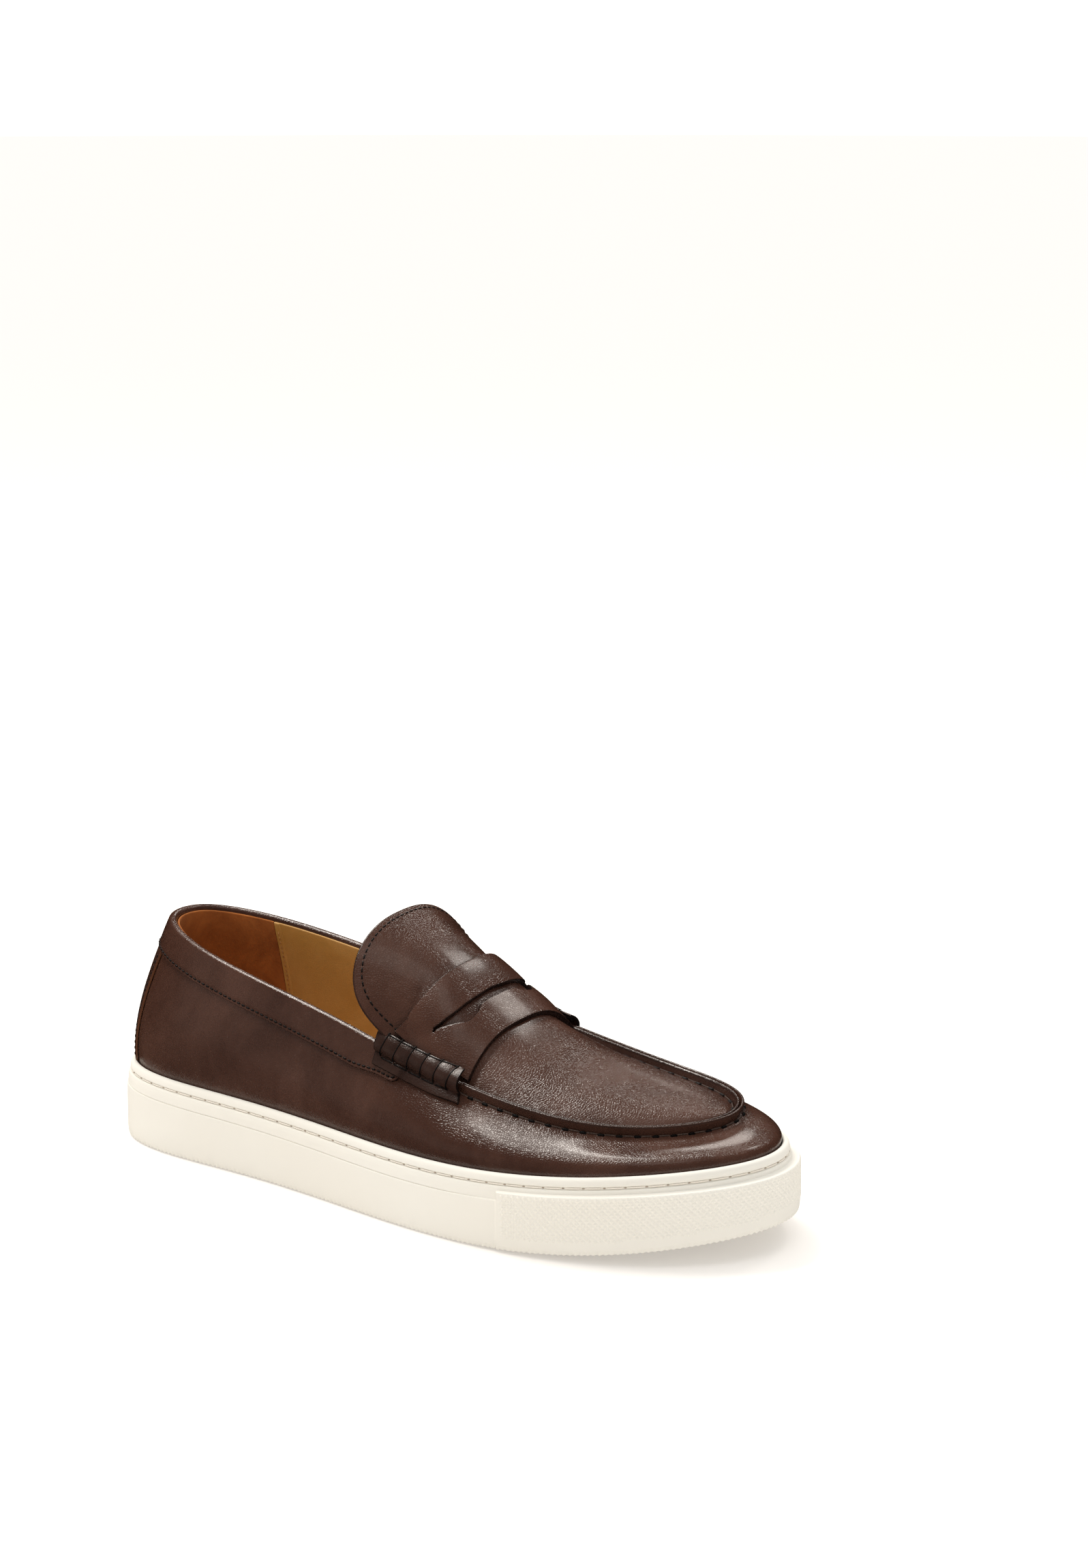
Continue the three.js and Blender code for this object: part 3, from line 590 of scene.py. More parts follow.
def cup_sole():
    """One ring of rubber from the tread's border up the side, over the rim and down to the cup's floor."""
    u = np.arange(SOLE_STATIONS) / SOLE_STATIONS
    rim, base = feather(u)[:, 2], feather(u)[:, 3]
    bumper = bumper_share(u)
    around = run_length(ring_point(u, 5.0, 0.0))
    teeth = round(around[-1] / TOOTH_PITCH)
    notch = 0.5 + 0.5 * np.cos(2 * math.pi * teeth * around / around[-1])

    def edge(out):
        return side_out(u, out) + BUMPER_STEP * bumper

    tread = ((5.0, TREAD_DEPTH), (5.3, 0.3), (5.6, 0))
    rows = [(side_out(u, out) - TREAD_BORDER, base + up) for out, up in tread]
    for out, up, deep, tall in FOOT_PROFILE:
        rows.append((edge(out) - deep * notch, base + up + tall * notch))
    low, high = base + 4.5, rim - 10.1
    rows += [(edge(mix(5.62, 5.42, t)), mix(low, high, t)) for t in np.linspace(0.15, 0.9, 6)]
    for out, drop, share in RIM_PROFILE:
        toe_out = np.where(drop > 9.3, side_out(u, out), np.full_like(u, out))
        # over the bumper the ledge is filled, so that its face runs straight up to its own edge
        face = mix(toe_out, bumper_face(u, drop), share)
        rows.append((mix(toe_out, face, bumper), rim - drop))
    rows.append((np.full_like(u, GAP), base + CUP_FLOOR))
    rings = np.stack([ring_point(u, out, z) for out, z in rows])
    return loft("cup_sole", rings, RUBBER, "sole_rubber", ["cup_outsole"], crease=28)


def toe_studs():
    """Rows of small pyramids on the toe bumper, each row half a stud on from the one above."""
    u = np.linspace(BUMPER_FROM + 0.002, BUMPER_TO - 0.002, 3000)
    length = run_length(ring_point(u, 7.0, 0.0))
    half = (u[-1] - u[0]) * 0.46 * STUD_WIDTH / length[-1]
    tall = 0.92 * STUD_ROW
    # the pyramid's four corners, its peak and its root: along in u, up, out
    stud = [(-half, 0, 0), (0, -tall, 0), (half, 0, 0), (0, tall, 0), (0, 0, STUD_RISE), (0, 0, -0.4)]
    points, faces = [], []
    for row in range(STUD_ROWS):
        drop = BUMPER_TOP + STUD_FIRST + row * STUD_ROW
        offset = 0.5 * STUD_WIDTH * (row % 2)
        places = np.arange(STUD_WIDTH / 2 + offset, length[-1] - STUD_WIDTH / 2, STUD_WIDTH)
        for centre in np.interp(places, length, u):
            rim, base = feather(np.array([centre]))[0, 2:]
            if rim - drop < base + STUD_LAST:
                continue
            a, b, c, d, peak, root = range(len(points), len(points) + 6)
            for along, up, rise in stud:
                at = np.array([centre + along])
                out = bumper_face(at, drop - up)[0] - 0.03 + rise
                points.append(ring_point(at, out, rim - drop + up)[0])
            faces += [(a, b, peak), (b, c, peak), (c, d, peak), (d, a, peak)]
            faces += [(b, a, root), (c, b, root), (d, c, root), (a, d, root)]
    return build("toe_studs", points, faces, RUBBER, "sole_rubber", crease=20)


def tread_point(t, a, z):
    """A place under the sole: t runs from heel to toe, a from the medial to the lateral edge."""
    inset = 5.6 - TREAD_BORDER - 1.2
    lateral_u, medial_u = t * 0.516, 1 - t * 0.484
    lateral = ring_point(lateral_u, side_out(lateral_u, inset), feather(lateral_u)[..., 3])
    medial = ring_point(medial_u, side_out(medial_u, inset), feather(medial_u)[..., 3])
    point = mix(medial, lateral, column((a + 1) / 2))
    point[..., 2] += z
    return point


def tread_bars():
    """Zigzag bars across the tread, flush with its border."""
    points, faces, base = [], [], 0
    across = np.linspace(-0.985, 0.985, 25)
    zigzag = 0.008 * (np.abs((np.arange(25) + 1) % 4 - 2) - 1)
    half, root = 0.0052, TREAD_DEPTH + 0.2
    profile = [(-half, root), (-half, 0.25), (-half + 0.0007, 0.02)]
    profile += [(half - 0.0007, 0.02), (half, 0.25), (half, root)]
    for middle in np.arange(0.045, 0.962, 0.0185):
        loops = np.stack([tread_point(middle + zigzag + dt, across, z) for dt, z in profile], 1)
        n, m = loops.shape[:2]
        points.append(loops.reshape(-1, 3))
        faces += closed_faces(n, m, base)
        base += n * m
    return build("tread_bars", np.vstack(points), np.vstack(faces), RUBBER, "sole_rubber", crease=30)


def sole_stitches():
    """Flat stitches along the channel, with short greyish tubes between them as painted shade in the needle
    holes.
    """
    def place(u, height):
        return ring_point(u, CHANNEL_OUT + height, feather(u)[..., 2] - CHANNEL_DROP)

    paths = stitch_paths(place, 0.002, 0.998, SOLE_PITCH, cover=0.9, lift=0.04, sink=0.4)
    tubes("sole_stitches", paths, 0.32, CREAM_THREAD, "cream_thread", ["sole_thread"])
    # short tubes of painted shade in the needle holes
    paths = stitch_paths(place, 0.002, 0.998, SOLE_PITCH, cover=0.1, lift=0.02, sink=0.2, ends=0.0)
    tubes("sole_hole_shade", paths, 0.24, SOLE_HOLE_SHADE, "cream_thread")


# ---- wall of the upper

SEAM_FROM, SEAM_TO = 0.342, 0.688
STITCH_U = spaced(wall_top, SEAM_FROM, SEAM_TO, SEAM_PITCH)
BETWEEN_STITCHES = (STITCH_U[1:] + STITCH_U[:-1]) / 2
HEEL_JOIN = 0.0007
PUCKER_HALF = 0.0019
WALL_LENGTH, PLUG_HALF = 45, 36  # the wall's height and the plug's half width near the seam, roughly


def near(u, places, width):
    """1 at each of these places, falling to 0 over a width on both sides."""
    return np.exp(-(((np.asarray(u)[..., None] - places) / width) ** 2)).sum(-1)


def wall_relief(u, w):
    """Small heights on the wall: puckers between the seam's stitches."""
    pucker = near(u, BETWEEN_STITCHES, PUCKER_HALF)
    drop = (1 - w) * WALL_LENGTH
    return 0.35 * pucker * np.exp(-(((drop - 1.6) / 1.9) ** 2)) * (w <= 1)


def wall_panel(name, u0, u1, node):
    """A panel of the wall, with its lasted margin under the insole and its lip at the seam."""
    count = int((u1 - u0) * PERIMETER)
    u = np.linspace(u0, u1, count)[:, None]
    share = seam_share(u)
    end = mix(below(u, COLLAR_STEP), 1, share)
    parts = np.hstack([np.linspace(0.0, 0.94, 30), [0.96, 0.975, 0.985, 0.993, 1]])[None]
    low = np.broadcast_to(np.array([-3, -2.5, -2, -1.7, -1.4, -1.2, -1, -0.5]), (count, 8))
    face = np.hstack([low, parts * end])
    radius = LEATHER / 2
    crest = mix(end + 0.008, 2 - radius / SEAM_HEIGHT, share)
    lip = mix(end, crest, np.array([[0.12, 0.3, 0.5, 0.75, 1.0]]))
    outer = np.hstack([face, lip])
    turn = np.linspace(0, math.pi, 9)[None, 1:-1]
    edge = crest + mix(0.002, radius / SEAM_HEIGHT, share) * np.sin(turn)
    edge_height = -radius * (1 - np.cos(turn)) + 0 * edge
    back = outer[:, ::-2]
    w = np.hstack([outer, edge, back])
    outer_height = wall_relief(u + 0 * outer, outer)
    height = np.hstack([outer_height, edge_height, np.full_like(back, -LEATHER)])
    # the lip's outer face a little darker, partly as painted shade; darker edge paint on its rounded crest
    lip_shade_and_edge_paint = np.hstack([0 * face, 0 * lip + 0.25, 0 * edge + 0.5, 0 * back]) * share
    return loft(name, wall(u + 0 * w, w, height), BROWN, "brown_leather", [node], cut=lip_shade_and_edge_paint)


def edged(length, fine=(0, 0.04, 0.15, 0.35, 0.7, 1.2), step=2.0):
    """Places from 0 to 1 along a length, close together at both ends, and their distances to an end."""
    middle = np.arange(fine[-1] + step, length - fine[-1] - step / 2, step)
    d = np.hstack([fine, middle, length - np.array(fine[::-1])])
    return d / length, np.minimum(d, length - d)


def round_edge(distance, radius=0.55):
    """Share of the full thickness at a distance from a cut edge."""
    x = np.clip(np.asarray(distance) / radius, 0, 1)
    return (1 - (1 - x) ** 3) ** (1 / 3)


STAY_HALF = 4.4 / 64
STAY_WIDTH, STAY_HEIGHT = 52, 46
STAY_RISE = 0.85
STAY_EDGE = 0.35


def heel_stay():
    """A cut piece of leather laid over the back of the heel, with rounded edges."""
    (across, side_distance), (up, end_distance) = edged(STAY_WIDTH), edged(STAY_HEIGHT)
    distance = np.minimum(side_distance[:, None], end_distance[None])
    rise = STAY_RISE * round_edge(distance, STAY_EDGE)
    u = mix(-STAY_HALF, STAY_HALF, across)[:, None]
    w = mix(0.004, below(u, COLLAR_HEIGHT + 0.1), up[None])
    upper = wall(u, w, GAP + rise)
    lower = wall(u, w, GAP + 0 * rise)
    sections = np.hstack([upper, lower[:, ::-1]])
    edge = np.clip(1 - distance / (0.8 * STAY_EDGE), 0, 1)
    cut = np.hstack([edge, 0 * edge + 1])
    return loft("heel_stay_leather", sections, STAY_BROWN, "brown_leather", ["heel_stay"], cut=cut)


def row_up(u, lift=0.0):
    """place() of a row of stitches that runs up the wall at u."""
    return lambda w, height: wall(np.full_like(w, u), w, lift + height)


def stay_stitches():
    """A row along each side of the heel stay."""
    paths = []
    for u in (0.0035 - STAY_HALF, STAY_HALF - 0.0035):
        highest = float(below(np.array(u), COLLAR_HEIGHT + 1.5))
        paths += stitch_paths(row_up(u, GAP + STAY_RISE), 0.03, highest, FINE_PITCH, 0.62, 0.12, 0.5)
    return tubes("stay_stitches", paths, 0.22, BROWN_THREAD, "brown_thread")


def join_stitches():
    """Two rows beside the medial seam."""
    paths = []
    for u in (MEDIAL_JOIN - 0.0024, MEDIAL_JOIN + 0.0024):
        paths += stitch_paths(row_up(u), 0.04, 0.8, FINE_PITCH, 0.62, 0.15, 0.5)
    return tubes("medial_join_stitches", paths, 0.22, BROWN_THREAD, "brown_thread")


# ---- linings and footbed

OVERLAP_RISE = 0.45  # of the tan linings' edges, where they lie over the suede
LINING_LEAN = 0.022  # how much further forward, in u, the suede's seams are at the rim than at the collar
# name, from u, to u, share of the lean at both ends, material and slot
LINING_PARTS = [
    ("heel_lining", 57 / 64 - 1, 8 / 64, -1, 1, SUEDE, "suede"),
    ("lateral_quarter_lining", 8 / 64, 19 / 64, 1, 0, TAN, "tan_leather"),
    ("vamp_lining", 19 / 64, 47 / 64, 0, 0, TAN, "tan_leather"),
    ("medial_quarter_lining", 47 / 64, 57 / 64, 0, -1, TAN, "tan_leather"),
]


def lining(name, u0, u1, lean_from, lean_to, look, slot_name):
    """One sheet of the lining, from the margin under the insole up to the collar."""
    places, distance = edged((u1 - u0) * PERIMETER, (0.3, 1.0, 2.0, 3.0, 3.3, 3.6, 4.2))
    u = mix(u0, u1, places)[:, None]
    share = smooth(0.3, 0.35, np.mod(u, 1)) * (1 - smooth(0.68, 0.73, np.mod(u, 1)))
    end = mix(below(u, 1.9), 0.88, share)
    low = np.broadcast_to(np.array([-2.4, -2, -1.6, -1.2, -1, -0.5]), (len(u), 6))
    face = np.hstack([low, end * np.linspace(0, 1, 26)[None]])
    turn = np.linspace(0, math.pi, 7)[None, 1:-1]
    roll = end + 0.009 * np.sin(turn)
    w = np.hstack([face, roll, face[:, ::-1]])
    u = u + LINING_LEAN * mix(lean_from, lean_to, places)[:, None] * (1 - np.clip(w, 0, 1))
    # its top leans out over the collar's inner leg
    outer = -LINING_FACE + 0.4 * smooth(0.1, 0, end - face) * (1 - share)
    overlap = OVERLAP_RISE * (1 - smooth(3.0, 3.6, distance)) * (look is TAN)
    inner = outer - LINING - overlap[:, None]
    turned = mix(outer[:, -1:], inner[:, -1:], (1 - np.cos(turn)) / 2)
    height = np.hstack([outer, turned, inner[:, ::-1]])
    return loft(name + "_sheet", wall(u, w, height), look, slot_name, [name], cut=0 * w)


def lining_stitches():
    """A row on the overlap of the quarter linings over the suede."""
    face = LINING_FACE + LINING + OVERLAP_RISE
    paths = []
    for seam, side in ((8 / 64, 1), (57 / 64, -1)):
        row = seam + side * 0.0026

        def place(w, height):
            u = row + side * LINING_LEAN * (1 - np.clip(w, 0, 1))
            return wall(u, w, -face - height)

        paths += stitch_paths(place, -0.2, float(below(np.array(row), 5)), 2.1, 0.6, 0.1, 0.5)
    return tubes("lining_stitches", paths, 0.25, TAN_THREAD, "tan_leather")


def footbed():
    """Sock lining over the foam: dished in the middle, rising to its edge."""
    u = np.arange(512) / 512
    rim = feather(u)[:, 2]
    # inset from the feather line, drop below the rim
    section = [(4.3, 6.9), (4.25, 6.5), (4.3, 6.15), (4.6, 6.0), (6.5, 6.15), (9.5, 6.6), (13, 6.8)]
    rings = np.stack([ring_point(u, -inset, rim - drop) for inset, drop in section])
    cut = np.zeros(rings.shape[:2])
    return loft("footbed_cover", rings, TAN, "tan_leather", ["sock_lining"], cut=cut)


# ---- collar

BAND_TO, BAND_FROM = 0.3015, -0.2685  # its rounded tips, under the beefrolls
BAND_TIP = 0.0075
FOLD_DROP, FOLD_OUT, FOLD_RADIUS, FOLD_THICKNESS = 2.1, -0.35, 1.85, 0.7


def band_edge(u):
    """Drop of the band's lower edge: it narrows towards the beefrolls and ends round."""
    from_tip = np.minimum(BAND_TO - u, u - BAND_FROM)
    low = mix(12, COLLAR_HEIGHT, smooth(0.013, 0.04, from_tip))
    x = 1 - np.clip(from_tip / BAND_TIP, 0, 1)
    return low - 6 * (1 - np.sqrt(1 - x * x))


def fold(radius, turns):
    """Round stretch of the collar's section, over the wall's top: drop and height at each turn."""
    return [(FOLD_DROP - radius * math.sin(t), FOLD_OUT + radius * math.cos(t)) for t in turns]


def collar():
    """The band: up the wall from its cut edge, over the top, down inside and back under itself."""
    u = np.linspace(BAND_FROM, BAND_TO, 480)[:, None]
    edge = band_edge(u)
    face = GAP + APPLIED
    inner = FOLD_RADIUS - FOLD_THICKNESS
    # distance above the cut edge, height out of the wall
    section = [(0, GAP), (-0.02, GAP + 0.35), (0.02, GAP + 0.75), (0.2, face - 0.08), (0.5, face + 0.02)]
    section += [(0.85, face - 0.02), (1.3, face - 0.16), (1.8, face - 0.02)]
    rows = [(edge - up, height) for up, height in section]
    for share in (0.15, 0.3, 0.5, 0.7, 0.9):
        drop = mix(edge - 1.8, FOLD_DROP + 0.6, share)
        rows.append((drop, face + 0.1 * math.sin(math.pi * share)))
    rows += fold(FOLD_RADIUS, np.linspace(0, math.pi, 17))
    leg = FOLD_OUT - FOLD_RADIUS
    rows += [(3.0, leg), (3.1, leg + 0.35), (3.0, FOLD_OUT - inner)]
    rows += fold(inner, np.linspace(math.pi, 0, 9))
    rows += [(mix(edge - 1.8, FOLD_DROP + 0.6, share), GAP) for share in (0.8, 0.5)]
    drop = np.hstack([drop + 0 * u for drop, _ in rows])
    height = np.hstack([height + 0 * u for _, height in rows])
    cut = np.zeros(drop.shape)
    cut[:, :4] = (1, 1, 0.8, 0.1)
    points = wall(u + 0 * drop, below(u + 0 * drop, drop), height)
    return loft("collar_band", points, BROWN, "brown_leather", ["collar_strip"], cut=cut)


def collar_stitches():
    """A row along the band's lower edge."""
    def place(u, height):
        return wall(u, below(u, band_edge(u) - 1.3), GAP + APPLIED + height)

    paths = stitch_paths(place, BAND_FROM + 0.003, BAND_TO - 0.003, FINE_PITCH, 0.62, 0.12, 0.5)
    return tubes("collar_stitches", paths, 0.3, BLACK_THREAD_AND_HOLE_SHADE, "brown_thread", ["collar_thread"], hole=0.4)


# ---- apron with the tongue


def tongue_outline(count):
    """Places on the tongue's edge, as s and a, from its lateral side to its tip."""
    angle = np.linspace(0, math.pi / 2, 4000)
    s = 1 + np.sin(angle) ** (2 / TONGUE_ROUNDNESS)
    a = np.cos(angle) ** (2 / TONGUE_ROUNDNESS)
    length = run_length(plug_point(s, a))
    places = np.linspace(0, length[-1], count + 1)[1:]
    return np.interp(places, length, s), np.interp(places, length, a)


def half_outline():
    """The plug's lateral edge from the toe to the tongue's tip, close together round the toe."""
    t = np.hstack([np.linspace(0.0003, 0.012, 14), np.linspace(0.0135, HALF_SPAN, 150)]) / HALF_SPAN
    s, a = tongue_outline(64)
    s, a = np.hstack([t, s]), np.hstack([np.ones_like(t), a])
    a[-1] = 0.004
    return s, a


S_HALF, A_HALF = half_outline()
S_EDGE = np.hstack([S_HALF, S_HALF[::-1]])
A_EDGE = np.hstack([A_HALF, -A_HALF[::-1]])
EDGE_U = TOE_U - np.sign(A_EDGE) * np.minimum(S_EDGE, 1) * HALF_SPAN
EDGE_SHARE = np.where(S_EDGE > 1, 0, seam_share(EDGE_U))


def plug_ring(share, height):
    """A loop inside the plug's outline, at a share of its half width."""
    tongue = np.maximum(S_EDGE - 1, 0)
    return plug(S_EDGE - tongue * (1 - share), A_EDGE * share, height)


def plug_relief(share):
    """Small heights on the plug: puckers between the seam's stitches."""
    pucker = near(EDGE_U, BETWEEN_STITCHES, PUCKER_HALF) * EDGE_SHARE
    inset = (1 - share) * PLUG_HALF
    return 0.2 * pucker * math.exp(-(((inset - 1.8) / 1.8) ** 2))


def apron():
    """The plug with its lip at the seam and the tongue's rounded cut edge, in one piece."""
    shares = np.hstack([np.linspace(0.02, 0.9, 34), [0.93, 0.95, 0.965, 0.98, 0.99, 1.0]])
    rings = [plug_ring(k, plug_relief(k)) for k in shares]
    cuts = [np.zeros(len(S_EDGE))] * len(shares)
    base, inner = plug_ring(1.0, 0.0), plug_ring(0.97, 0.0)
    normal = unit(plug_ring(1.0, 1.0) - base)
    share = EDGE_SHARE[:, None]
    away = unit(mix(unit(base - inner), outward(EDGE_U), share))
    up = unit(mix(normal, seam_direction(EDGE_U), share))
    radius = LEATHER / 2
    rise = (SEAM_HEIGHT - radius) * share
    for t in (0.15, 0.5, 0.8):
        rings.append(base + up * rise * t + away * 0.001 * t)
        cuts.append(EDGE_SHARE * 0.1)
    for turn in np.linspace(0, math.pi, 9):
        over_lip = away * radius * (1 - math.cos(turn)) + up * radius * math.sin(turn)
        round_end = -up * radius * (1 - math.cos(turn)) + away * radius * math.sin(turn)
        rings.append(base + up * rise + mix(round_end, over_lip, share))
        cuts.append(np.full(len(S_EDGE), 0.6))
    for t in (0.6, 0.0):
        behind_lip = away * LEATHER - up * LEATHER * (1 - t)
        rings.append(base + up * rise * t + mix(-up * LEATHER, behind_lip, share))
        cuts.append(EDGE_SHARE * 0.8)
    rings += [plug_ring(k, -LEATHER) for k in shares[::-2]]
    cuts += [np.zeros(len(S_EDGE))] * len(shares[::-2])
    return loft("apron", np.stack(rings), BROWN, "brown_leather", ["apron_plug"], cut=np.stack(cuts))


def apron_lining():
    shares = np.linspace(0.02, 0.93, 26)
    face = LEATHER + 0.15
    rings = [plug_ring(k, -face) for k in shares]
    rings.append(plug_ring(shares[-1], -face - LINING / 2))
    rings += [plug_ring(k, -face - LINING) for k in shares[::-1]]
    rings = np.stack(rings)
    return loft("apron_lining", rings, TAN, "tan_leather", ["plug_lining"], cut=np.zeros(rings.shape[:2]))


def tongue_stitches():
    """A row just inside the tongue's edge, once round it."""
    s, a = tongue_outline(200)
    s, a = np.hstack([s, s[::-1]]), np.hstack([a, -a[::-1]])
    t = np.linspace(0, 1, len(s))
    length_kept, width_kept = 0.925, 0.935

    def place(x, height):
        along = 1 + (np.interp(x, t, s) - 1) * length_kept
        return plug(along, np.interp(x, t, a) * width_kept, height)

    paths = stitch_paths(place, 0.02, 0.98, FINE_PITCH + 0.3, 0.7, 0.04, 0.5)
    return tubes("tongue_stitches", paths, 0.3, BLACK_THREAD_AND_HOLE_SHADE, "brown_thread", ["tongue_thread"], hole=0.4)


def seam_outer(u, height, away=0.0):
    """On the vamp, at the foot of the outer lip."""
    return wall(u, below(u, 0.75 + away + 0 * u), height)


def seam_inner(u, height, away=0.0):
    """On the apron, at the foot of the inner lip."""
    share = np.clip(np.abs(TOE_U - u) / HALF_SPAN, 0.004, 1)
    edge = np.where((u < TOE_U)[..., None], plug_side(share, 1), plug_side(share, -1))
    return edge + seam_direction(u) * 0.65 - outward(u) * column(0.35 + away + height)


def seam_stitches():
    """Long stitches along both lips, and black blobs between them as painted shade in the needle holes."""
    for name, place in (("outer", seam_outer), ("inner", seam_inner)):
        paths = stitch_paths(place, SEAM_FROM, SEAM_TO, SEAM_PITCH, 0.84, 0.28, 0.4)
        tubes("seam_stitches_" + name, paths, 0.33, SEAM_THREAD, "brown_thread", ["apron_thread_" + name])

        def hole(u, height):
            return place(u, height, 0.35)

        # near-black blobs at the holes: painted shade
        paths = stitch_paths(hole, SEAM_FROM, SEAM_TO, SEAM_PITCH, 0.34, 0.25, 0.6, ends=0.0)
        tubes("seam_hole_shade_" + name, paths, 0.62, BLACK_THREAD_AND_HOLE_SHADE, "brown_thread")


# ---- penny strap

# edges of the slot, as a and y, from the middle to its end
SLOT_REAR = [(0, 21.6), (0.15, 21.9), (0.3, 21.9), (0.45, 21.5), (0.56, 20.9), (0.65, 19.8)]
SLOT_REAR += [(0.73, 18.4), (0.79, 16.8)]
SLOT_FRONT = [(0, 24.4), (0.15, 24.3), (0.28, 24.5), (0.38, 25.7), (0.48, 26), (0.57, 25.2)]
SLOT_FRONT += [(0.69, 21.6), (0.79, 17.6)]
# rounded tip of the slot, each point facing a place on the strap's side: a, y, y on the side
SLOT_TIP = [(0.8, 16.95, 7), (0.812, 17.05, 14), (0.812, 17.3, 21), (0.8, 17.45, 29)]
SLOT_REACH = 0.79


def strap_rear(a):
    """y of the strap's bowed rear edge."""
    return 10 - 11 * np.abs(a) ** 3.4


def strap_pairs():
    """Pairs of a place on the slot's edge and one on the strap's outline, once round the slot, as a, y."""
    rear = catmull(SLOT_REAR, 60)
    front = catmull(SLOT_FRONT, 60)
    tip = catmull(SLOT_TIP, 16)
    fan = STRAP_SIDE / SLOT_REACH
    half = [((a, y), (a * fan, strap_rear(a * fan))) for a, y in rear]
    half += [((a, y), (STRAP_SIDE, side)) for a, y, side in tip]
    half += [((a, y), (a * fan, STRAP_FRONT)) for a, y in front[::-1]]
    other = [((-slot[0], slot[1]), (-edge[0], edge[1])) for slot, edge in half[::-1][1:-1]]
    return np.array(half + other)


def strap():
    """A ring of leather round the slot, rounded at both of its edges and a little domed."""
    pairs = strap_pairs()
    slot, edge = pairs[:, 0], pairs[:, 1]
    t, _ = edged(14.0, step=1.3)
    at = slot[:, None] + (edge - slot)[:, None] * t[None, :, None]
    s = station_at(at[..., 1])
    run = run_length(plug(s, at[..., 0], 0.0))
    distance = np.minimum(run, run[:, -1:] - run)
    lift = 0.2
    rise = (STRAP_THICKNESS + 0.2) * round_edge(distance, 0.5) + 0.35 * (1 - np.exp(-distance / 3))
    upper = plug(s, at[..., 0], lift + rise)
    lower = plug(s, at[..., 0], lift + 0 * rise)
    # edge paint on the rounded edges, spread onto the top as a painted shadow along the outline; the
    # underside is dark too
    cut = np.clip(1.3 - distance / 0.5, 0, 1)
    sections = np.hstack([upper, lower[:, ::-1]])
    cuts = np.hstack([cut, 0 * cut + 1])
    return loft("strap", sections, BROWN, "brown_leather", ["penny_strap"], ring=True, cut=cuts)


# ---- beefrolls

# section of the roll: distance above the seam along the surface, height over the seam's crest
ROLL_OUTSIDE = [(-4.4, 1.5), (-3.9, 2.8), (-2.5, 4.0), (-0.3, 4.5), (1.8, 4.3), (3.4, 3.8), (4.3, 3.4)]
ROLL_TIP = [(4.6, 3.15), (4.65, 2.9), (4.5, 2.65)]
ROLL_INSIDE = [(4.2, 2.6), (3.2, 2.8), (1.6, 3.2), (-0.3, 3.3), (-2.0, 2.8), (-3.0, 1.8), (-3.5, 0.6)]
# its flat flange: drop down the wall, height over the wall
FLANGE_OUTSIDE = [(9.3, 0.4), (9.4, 0.8), (9.35, 1.3), (9.1, 1.6), (8.3, 1.7), (6.6, 1.65), (5.2, 1.6)]
FLANGE_INSIDE = [(4.6, 0.4), (7.0, 0.4)]
ROLL_HALF = 4.4
OUTSIDE_STEPS = 26
LOOPS = np.array([0.1, 0.26, 0.42, 0.585, 0.745, 0.905])
LOOP_LEAN = 0.028
# one loop of thread over the roll, as the roll's own section
LOOP_PATH = [(-5.4, 0.6), (-4.9, 1.7), (-4.3, 2.6), (-2.9, 3.65), (-0.3, 4.25), (1.8, 4.05)]
LOOP_PATH += [(3.4, 3.6), (4.6, 3.2), (4.9, 2.2)]
ROLL_SINK = {"lateral": (0, 0), "medial": (1.2, 0.6)}  # the inner roll lies a little further down the wall


def roll_place(u, rise, height):
    """A place over the seam, rise along the surface towards the apron and height out of it."""
    v = np.clip(u, TOE_U - HALF_SPAN + 0.001, TOE_U + HALF_SPAN - 0.001)
    on_apron = plug_point(np.abs(TOE_U - v) / HALF_SPAN, 0.95 * np.sign(TOE_U - v))
    up = unit(on_apron - wall_point(v, below(v, 4 + 0 * v)))
    along = unit(top(v + 0.004) - top(v - 0.004))
    return top(u) + up * column(rise) + unit(np.cross(along, up)) * column(height)


def over_band(u):
    """Extra height where the collar band runs under the roll."""
    lateral = smooth(BAND_TO + 0.003, BAND_TO - 0.001, u)
    medial = smooth(1 + BAND_FROM - 0.003, 1 + BAND_FROM + 0.001, u)
    return 1.25 * np.clip(lateral + medial, 0, 1)


def over_band_low(u, rise):
    """The same on the roll: full at its lower edge, nothing at its crest."""
    return over_band(u) * np.clip(-rise / ROLL_HALF, 0, 1) * 0.8


